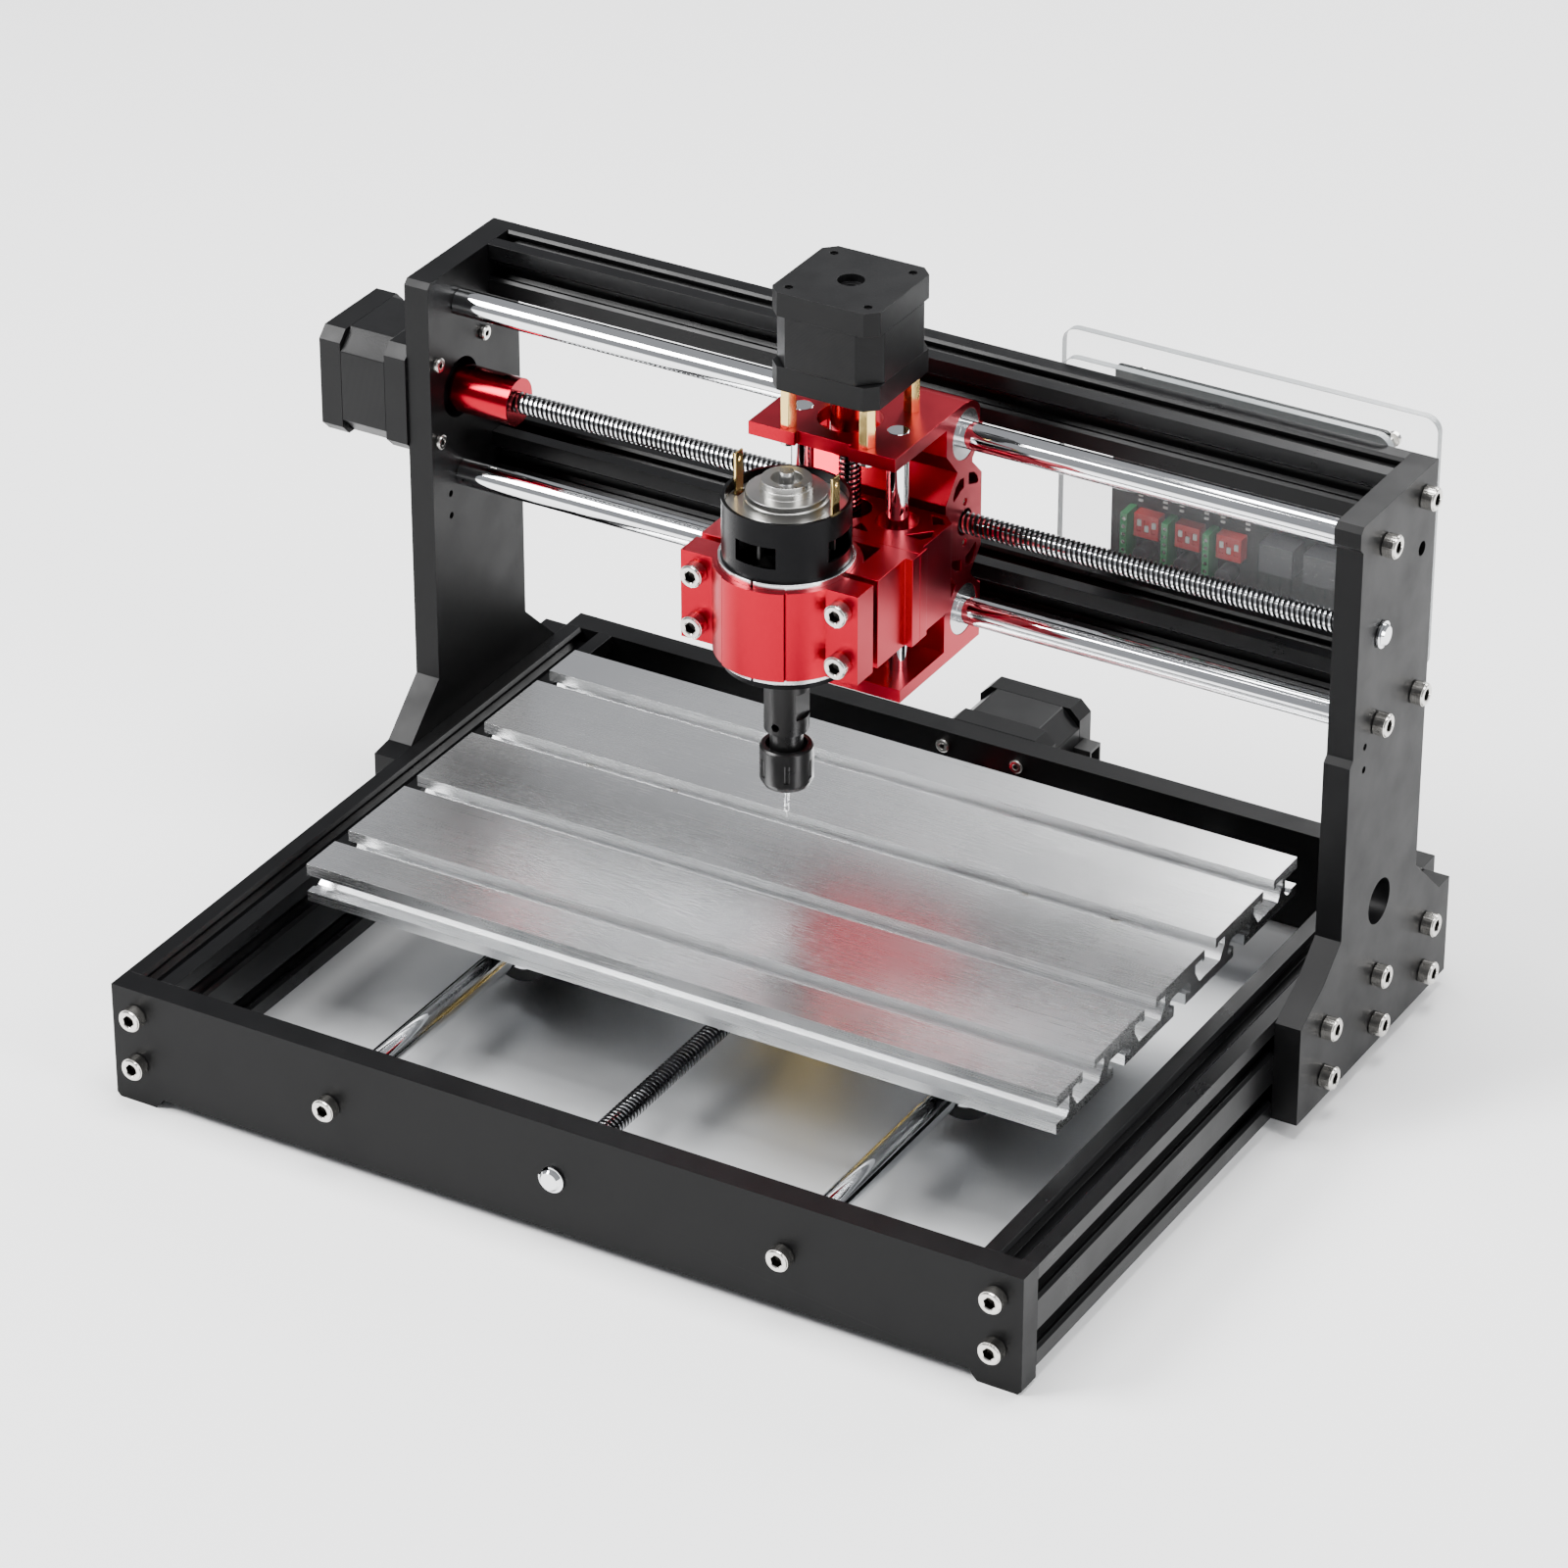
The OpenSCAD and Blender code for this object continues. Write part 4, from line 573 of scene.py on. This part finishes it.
def cutter():
    """Engraving cutter: round shank, half-round flute that runs down to a flat tip."""
    lowest, highest = low("cutter"), high("cutter")
    centre = middle("cutter")
    radius = size("cutter").x / 2
    point = 6 * MM
    tip_share, flute_share = 0.14, 0.42
    piece = Piece()
    steps, sides, twist = 40, 20, math.radians(420)
    rings = []
    for i in range(steps + 1):
        t = i / steps
        z = lowest.z + (highest.z - lowest.z) * t
        rise = z - lowest.z
        envelope = radius * min(1.0, tip_share + (1 - tip_share) * rise / point)
        fluted = max(0.0, min(1.0, (2.2 * point - rise) / point))
        ring = []
        for k in range(sides):
            angle = 2 * math.pi * k / sides
            cut = flute_share * fluted * max(0.0, math.cos(2 * (angle - twist * rise / (3 * point))))
            r = envelope * (1 - cut)
            spot = (centre.x + r * math.cos(angle), centre.y + r * math.sin(angle), z)
            ring.append(piece.mesh.verts.new(spot))
        rings.append(ring)
    for first, second in zip(rings, rings[1:]):
        for k in range(sides):
            j = (k + 1) % sides
            piece.mesh.faces.new([first[k], first[j], second[j], second[k]])
    piece.mesh.faces.new(list(reversed(rings[0])))
    piece.mesh.faces.new(rings[-1])
    piece.done("cutter_fluted", STEEL, "spindle_rotor", ("cutter",), "bright_steel")


cutter()


# ---- Motor screws ----

BOLT_SQUARE = 31 * MM
REAR_SCREW_SINK = 2.4 * MM


def rear_screws(name, body, coupler, cap_face, axis, across):
    """Four recessed screws in a motor's rear cap. The motor is in line with its coupler."""
    piece = Piece()
    centre = middle(coupler)
    for i in range(3):
        if axis[i]:
            centre[i] = cap_face[i]
    other = axis.cross(across)
    head_r, head_h = 1.45 * MM, 1.6 * MM
    profile = [(0, 0), (0, head_r), (head_h * 0.7, head_r), (head_h, head_r * 0.8), (head_h, head_r * 0.45),
               (head_h * 0.5, head_r * 0.4), (head_h * 0.5, 0)]
    for i in (-1, 1):
        for j in (-1, 1):
            corner = centre + across * (i * BOLT_SQUARE / 2) + other * (j * BOLT_SQUARE / 2)
            piece.turned(profile, corner - axis * REAR_SCREW_SINK, axis, 24)
    piece.done(name, BLACKED, body, slot="bright_steel")


rear_screws("x_motor_rear_screws", "frame", "x_coupler", low("frame_motor_caps"), -X, Y)
rear_screws("y_motor_rear_screws", "frame", "y_coupler", high("frame_motor_caps"), Y, X)
rear_screws("z_motor_rear_screws", "x_carriage", "z_coupler", high("z_motor_caps"), Z, X)


# ---- Cap screws ----


def islands(node):
    """The separate solids of a CAD node, each as a list of its points."""
    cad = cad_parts[node]
    place = cad.matrix_world
    points = [place @ v.co for v in cad.data.vertices]
    keys = [tuple(round(c * 1e6) for c in point) for point in points]
    parent = {key: key for key in keys}

    def root(key):
        while parent[key] != key:
            parent[key] = parent[parent[key]]
            key = parent[key]
        return key

    for face in cad.data.polygons:
        first = root(keys[face.vertices[0]])
        for index in face.vertices[1:]:
            parent[root(keys[index])] = first
    groups = {}
    for key, point in zip(keys, points):
        groups.setdefault(root(key), []).append(point)
    return [groups[key] for key in sorted(groups)]


def corners_of(points):
    """The lowest and highest corner of the box round some points."""
    lowest = Vector([min(p[i] for p in points) for i in range(3)])
    highest = Vector([max(p[i] for p in points) for i in range(3)])
    return lowest, highest


KNURLS = 36
# Depth of the knurling as a share of the head's radius.
KNURL_DEPTH = 0.012


def hex_radius(angle, key):
    """Distance from the centre to the flat of a hexagon at this angle."""
    sixth = math.pi / 3
    return key / 2 / math.cos(angle % sixth - sixth / 2)


def cap_screw(piece, foot, axis, shank_r, shank_l, head_r, head_h, key):
    """Socket screw: foot is the middle of the head's underside, axis points out of the head."""
    side = axis.orthogonal().normalized()
    other = axis.cross(side)
    count = 2 * KNURLS
    angles = [2 * math.pi * i / count for i in range(count)]

    def ring(along, radius):
        return [foot + axis * along + (side * math.cos(a) + other * math.sin(a)) * radius(i, a)
                for i, a in enumerate(angles)]

    def round_ring(along, radius):
        return ring(along, lambda i, a: radius)

    def knurled(along):
        return ring(along, lambda i, a: head_r * (1 - KNURL_DEPTH) if i % 2 else head_r)

    def hexagon(along):
        return ring(along, lambda i, a: hex_radius(a, key))

    chamfer = 0.09 * head_r
    shank = [[foot - axis * shank_l], round_ring(-shank_l, shank_r * 0.8),
             round_ring(-shank_l + 0.2 * shank_r, shank_r), round_ring(0, shank_r)]
    head = [round_ring(0, head_r - chamfer), knurled(chamfer), knurled(head_h - 1.8 * chamfer),
            round_ring(head_h - 1.6 * chamfer, head_r - 0.6 * chamfer),
            round_ring(head_h - 0.4 * chamfer, head_r - chamfer), round_ring(head_h, head_r - 1.8 * chamfer),
            round_ring(head_h, key / 2 * 1.24), hexagon(head_h - 0.05 * head_h)]
    socket = [hexagon(head_h * 0.4), [foot + axis * head_h * 0.3]]
    outside = shank + head
    # The socket's walls and floor take the second material, painted shade inside the socket.
    piece.tube(outside + socket, shade_from=len(outside) - 1)


# Points of a solid this close to its end belong to the end.
NEAR = 0.01 * MM


def cap_screws(node, body, key_share=0.47):
    """Replaces a node of plain screws with knurled ones in the same places.

    key_share is the socket's width as a share of the head's.
    """
    piece = Piece()
    for points in islands(node):
        lowest, highest = corners_of(points)
        span = highest - lowest
        index = max(range(3), key=lambda i: span[i])
        axis = (X, Y, Z)[index]
        centre = (lowest + highest) / 2

        def radius(point):
            offset = point - centre
            offset[index] = 0
            return offset.length

        low_r = max(radius(p) for p in points if p[index] - lowest[index] < NEAR)
        high_r = max(radius(p) for p in points if highest[index] - p[index] < NEAR)
        head_r, shank_r = max(low_r, high_r), min(low_r, high_r)
        out = axis if high_r > low_r else -axis
        wide = [p.dot(out) for p in points if radius(p) > head_r - NEAR]
        head_base, head_top = min(wide), max(wide)
        tail = min(p.dot(out) for p in points)
        foot = centre.copy()
        foot[index] = head_base * (1 if out == axis else -1)
        cap_screw(piece, foot, out, shank_r, head_base - tail, head_r, head_top - head_base,
                  2 * head_r * key_share)
    piece.done(node + "_knurled", NICKEL, body, (node,), "bright_steel", sharp=20, recess_shade=SOCKET_SHADE)


cap_screws("base_bolts", "frame")
cap_screws("gantry_bolts", "frame")
cap_screws("motor_screws", "frame", 0.38)
cap_screws("clamp_bolts", "z_slide")

grub_screws("x_coupler_grubs", "x_coupler", "x_screw", "x", -Y)
grub_screws("y_coupler_grubs", "y_coupler", "y_screw", "y", Z)
grub_screws("z_coupler_grubs", "z_coupler", "z_screw", "z", -Y)


# ---- Control board ----


# Thickness of what lies on the board's front face.
TRACK_T = 0.06 * MM
PIN_T = 0.35 * MM
PART_T = 0.5 * MM
CHIP_T = 1.1 * MM

# Driver chip under each setting switch, measured from the switch's lower edge.
CHIP = 6.8 * MM
CHIP_RISE = 21 * MM
CHIP_PINS = 7
PIN_PITCH = 0.95 * MM
PIN_W = 0.4 * MM
PIN_L = 0.9 * MM


def flat_box(piece, face, thick, x, z):
    """A box on the board's front face. x and z are each a pair of ends."""
    piece.box((x[0], face - thick, z[0]), (x[1], face, z[1]))


def driver_parts(chips, passives, tracks, face, switch):
    """The chip, resistors and tracks that go with one setting switch."""
    lowest, highest = corners_of(switch)
    x = (lowest.x + highest.x) / 2
    chip_z = lowest.z + CHIP_RISE
    flat_box(chips, face, CHIP_T, (x - CHIP / 2, x + CHIP / 2), (chip_z, chip_z + CHIP))
    for i in range(CHIP_PINS):
        pin = x + (i - (CHIP_PINS - 1) / 2) * PIN_PITCH
        for z in (chip_z - PIN_L, chip_z + CHIP):
            flat_box(passives, face, PIN_T, (pin - PIN_W / 2, pin + PIN_W / 2), (z, z + PIN_L))
    for i in range(4):
        z = lowest.z + (11.5 + 2.1 * i) * MM
        flat_box(passives, face, PART_T, (x - 5.6 * MM, x - 3.9 * MM), (z, z + 0.9 * MM))
        flat_box(passives, face, PART_T, (x + 4.2 * MM, x + 5.9 * MM), (z - 0.4 * MM, z + 0.5 * MM))
        flat_box(tracks, face, TRACK_T, (x - 3.6 * MM, x + 3.9 * MM), (z, z + 0.35 * MM))


def logic_parts(passives, tracks, face, left, bottom):
    """Nine columns of tracks and resistors on the right of the board."""
    for i in range(9):
        x = left + (58 + 4.4 * i) * MM
        step, shift, rise = 4 * (i % 3), 3 * (i % 2), 1.5 * i
        flat_box(tracks, face, TRACK_T, (x, x + 0.5 * MM), (bottom + 18 * MM, bottom + (30 + step) * MM))
        flat_box(passives, face, PART_T, (x - 0.4 * MM, x + 0.6 * MM),
                 (bottom + (46 + shift) * MM, bottom + (48 + shift) * MM))
        flat_box(tracks, face, TRACK_T, (x - 2 * MM, left + 98 * MM),
                 (bottom + (58 + rise) * MM, bottom + (58.5 + rise) * MM))


# Outline of a soldered joint, as (height, radius) in millimetres.
SMALL_JOINT = ((0, 0.62), (0.25, 0.55), (0.6, 0.2), (0.65, 0))
LARGE_JOINT = ((0, 0.8), (0.3, 0.7), (0.8, 0.25), (0.85, 0))
JOINT_SINK = 0.1 * MM


def solder_joints(back, left, bottom):
    """Rows of joints on the back of the board, behind the switches, the chips and the edge sockets."""
    piece = Piece()

    def joint(outline, x, z):
        profile = [(along * MM, radius * MM) for along, radius in outline]
        piece.turned(profile, Vector((x, back - JOINT_SINK, z)), Y, 12)

    for switch in islands("dip_switches"):
        lowest, highest = corners_of(switch)
        for i in range(8):
            for z in (lowest.z - 3 * MM, highest.z + 3 * MM, highest.z + 9 * MM, highest.z + 22 * MM):
                joint(SMALL_JOINT, lowest.x + (i - 1) * 1.6 * MM, z)
    for i in range(14):
        joint(LARGE_JOINT, left + (60 + 2.54 * i) * MM, bottom + 14 * MM)
    piece.done("board_solder", NICKEL, "frame", slot="bright_steel")


def board_parts():
    """Small parts on the front face of the board, and the joints on its back."""
    corner, face = low("circuit_board"), low("circuit_board").y
    chips, passives, tracks = Piece(), Piece(), Piece()
    for switch in islands("dip_switches"):
        driver_parts(chips, passives, tracks, face, switch)
    logic_parts(passives, tracks, face, corner.x, corner.z)
    solder_joints(high("circuit_board").y, corner.x, corner.z)
    chips.done("board_chips", GREY_PLASTIC, "frame", slot="black_plastic", edge=0.12 * MM)
    passives.done("board_chip_parts", PALE_PLASTIC, "frame", slot="bright_steel", edge=0.08 * MM)
    tracks.done("board_tracks", COPPER_TRACK, "frame", slot="board_laminate", edge=0.02 * MM)


def switch_levers():
    """Three sliding levers in each setting switch: the outer two up, the middle one down."""
    piece = Piece()
    pitch, half_w, half_h, throw = 2.9 * MM, 0.8 * MM, 1.2 * MM, 0.9 * MM
    for switch in islands("dip_switches"):
        lowest, highest = corners_of(switch)
        for i in (-1, 0, 1):
            x = (lowest.x + highest.x) / 2 + i * pitch
            z = (lowest.z + highest.z) / 2 + (throw if i else -throw)
            front = lowest.y + 0.1 * MM
            piece.box((x - half_w, front, z - half_h), (x + half_w, lowest.y + 0.8 * MM, z + half_h))
    piece.done("dip_levers", PALE_PLASTIC, "frame", slot="black_plastic", edge=0.15 * MM)


def terminal_screws():
    """Six screw heads on each terminal strip."""
    piece = Piece()
    head_r, head_h, bevel = 0.85 * MM, 0.6 * MM, 0.1 * MM
    profile = [(0, 0), (0, head_r), (head_h - bevel, head_r), (head_h, head_r - 0.15 * MM), (head_h, 0)]
    for strip in islands("terminal_strips"):
        lowest, highest = corners_of(strip)
        x = (lowest.x + highest.x) / 2
        for i in range(6):
            z = lowest.z + (2.2 + 3.1 * i) * MM
            piece.turned(profile, Vector((x, lowest.y + 0.9 * MM, z)), -Y, 20)
    piece.done("terminal_screw_heads", NICKEL, "frame", slot="bright_steel")


def sheet_rim(node):
    """Dark band all round a clear sheet, near its polished edge: painted shade of the sheet's edge."""
    lowest, highest = low(node), high(node)
    corner, inset, band, proud, steps = 6 * MM, 0.12 * MM, 0.22 * MM, 0.02 * MM, 8
    left, right = lowest.x + corner, highest.x - corner
    bottom, top = lowest.z + corner, highest.z - corner
    loop = []
    for cx, cz, start in ((right, top, 0), (left, top, 90), (left, bottom, 180), (right, bottom, 270)):
        for step in range(steps + 1):
            angle = math.radians(start + step * 90 / steps)
            loop.append((cx, cz, math.cos(angle), math.sin(angle)))
    piece = Piece()
    front, back = lowest.y - proud, highest.y + proud
    rows = []
    inner = inset + band
    for out, y in ((inset, front), (inset, back), (inner, back), (inner, front), (inset, front)):
        reach = corner - out
        rows.append([Vector((cx + reach * c, y, cz + reach * d)) for cx, cz, c, d in loop])
    piece.tube(rows)
    bmesh.ops.remove_doubles(piece.mesh, verts=piece.mesh.verts, dist=SAME_POINT / 10)
    piece.done(node + "_rim", CLEAR_EDGE_SHADE, "frame", slot="clear_plastic")


board_parts()
switch_levers()
terminal_screws()
sheet_rim("board_mount_sheet")
sheet_rim("board_cover_sheet")


# ---- Floor, light and camera ----


def floor():
    """A plain pale floor, far wider than the picture."""
    data = bpy.data.meshes.new("floor")
    half = 12
    corners = [(-half, -half, 0), (half, -half, 0), (half, half, 0), (-half, half, 0)]
    data.from_pydata(corners, [], [(0, 1, 2, 3)])
    plane = bpy.data.objects.new("floor", data)
    bpy.context.scene.collection.objects.link(plane)
    made = bpy.data.materials.new("pale_floor")
    made.use_nodes = True
    surface = made.node_tree.nodes["Principled BSDF"]
    surface.inputs["Base Color"].default_value = (0.92, 0.92, 0.92, 1)
    surface.inputs["Roughness"].default_value = 0.8
    surface.inputs["Specular IOR Level"].default_value = 0.1
    data.materials.append(made)


def area_light(name, place, target, width, height, power, colour=(1, 1, 1)):
    data = bpy.data.lights.new(name, "AREA")
    data.shape = "RECTANGLE"
    data.size, data.size_y = width, height
    data.energy = power
    data.color = colour
    lamp = bpy.data.objects.new(name, data)
    lamp.location = place
    lamp.rotation_euler = (Vector(target) - Vector(place)).to_track_quat("-Z", "Y").to_euler()
    bpy.context.scene.collection.objects.link(lamp)


def studio():
    """A pale world and four soft lights round the machine."""
    world = bpy.data.worlds.new("studio")
    world.use_nodes = True
    world.node_tree.nodes["Background"].inputs["Color"].default_value = (0.93, 0.95, 1.0, 1)
    world.node_tree.nodes["Background"].inputs["Strength"].default_value = 0.38
    bpy.context.scene.world = world
    aim = (0, 0, 0.12)
    area_light("key", (-1.2, -0.9, 1.6), aim, 0.9, 0.9, 84)
    area_light("side", (1.6, -0.3, 0.9), aim, 0.5, 1.3, 26)
    area_light("back", (0.2, 1.7, 1.2), aim, 1.6, 0.5, 34)
    area_light("top", (0, 0.1, 1.8), aim, 1.1, 0.7, 46)


def photo_camera():
    """The camera that was fitted to the photograph."""
    data = bpy.data.cameras.new("camera")
    data.sensor_width = 36
    data.lens = 150.33
    camera = bpy.data.objects.new("camera", data)
    tilt, heading = 0.527, 0.527
    camera.location = (0.9924, -1.7053, 1.2489)
    camera.rotation_euler = (math.pi / 2 - tilt, 0, heading)
    bpy.context.scene.collection.objects.link(camera)
    bpy.context.scene.camera = camera


floor()
studio()
photo_camera()

bpy.context.view_layer.update()
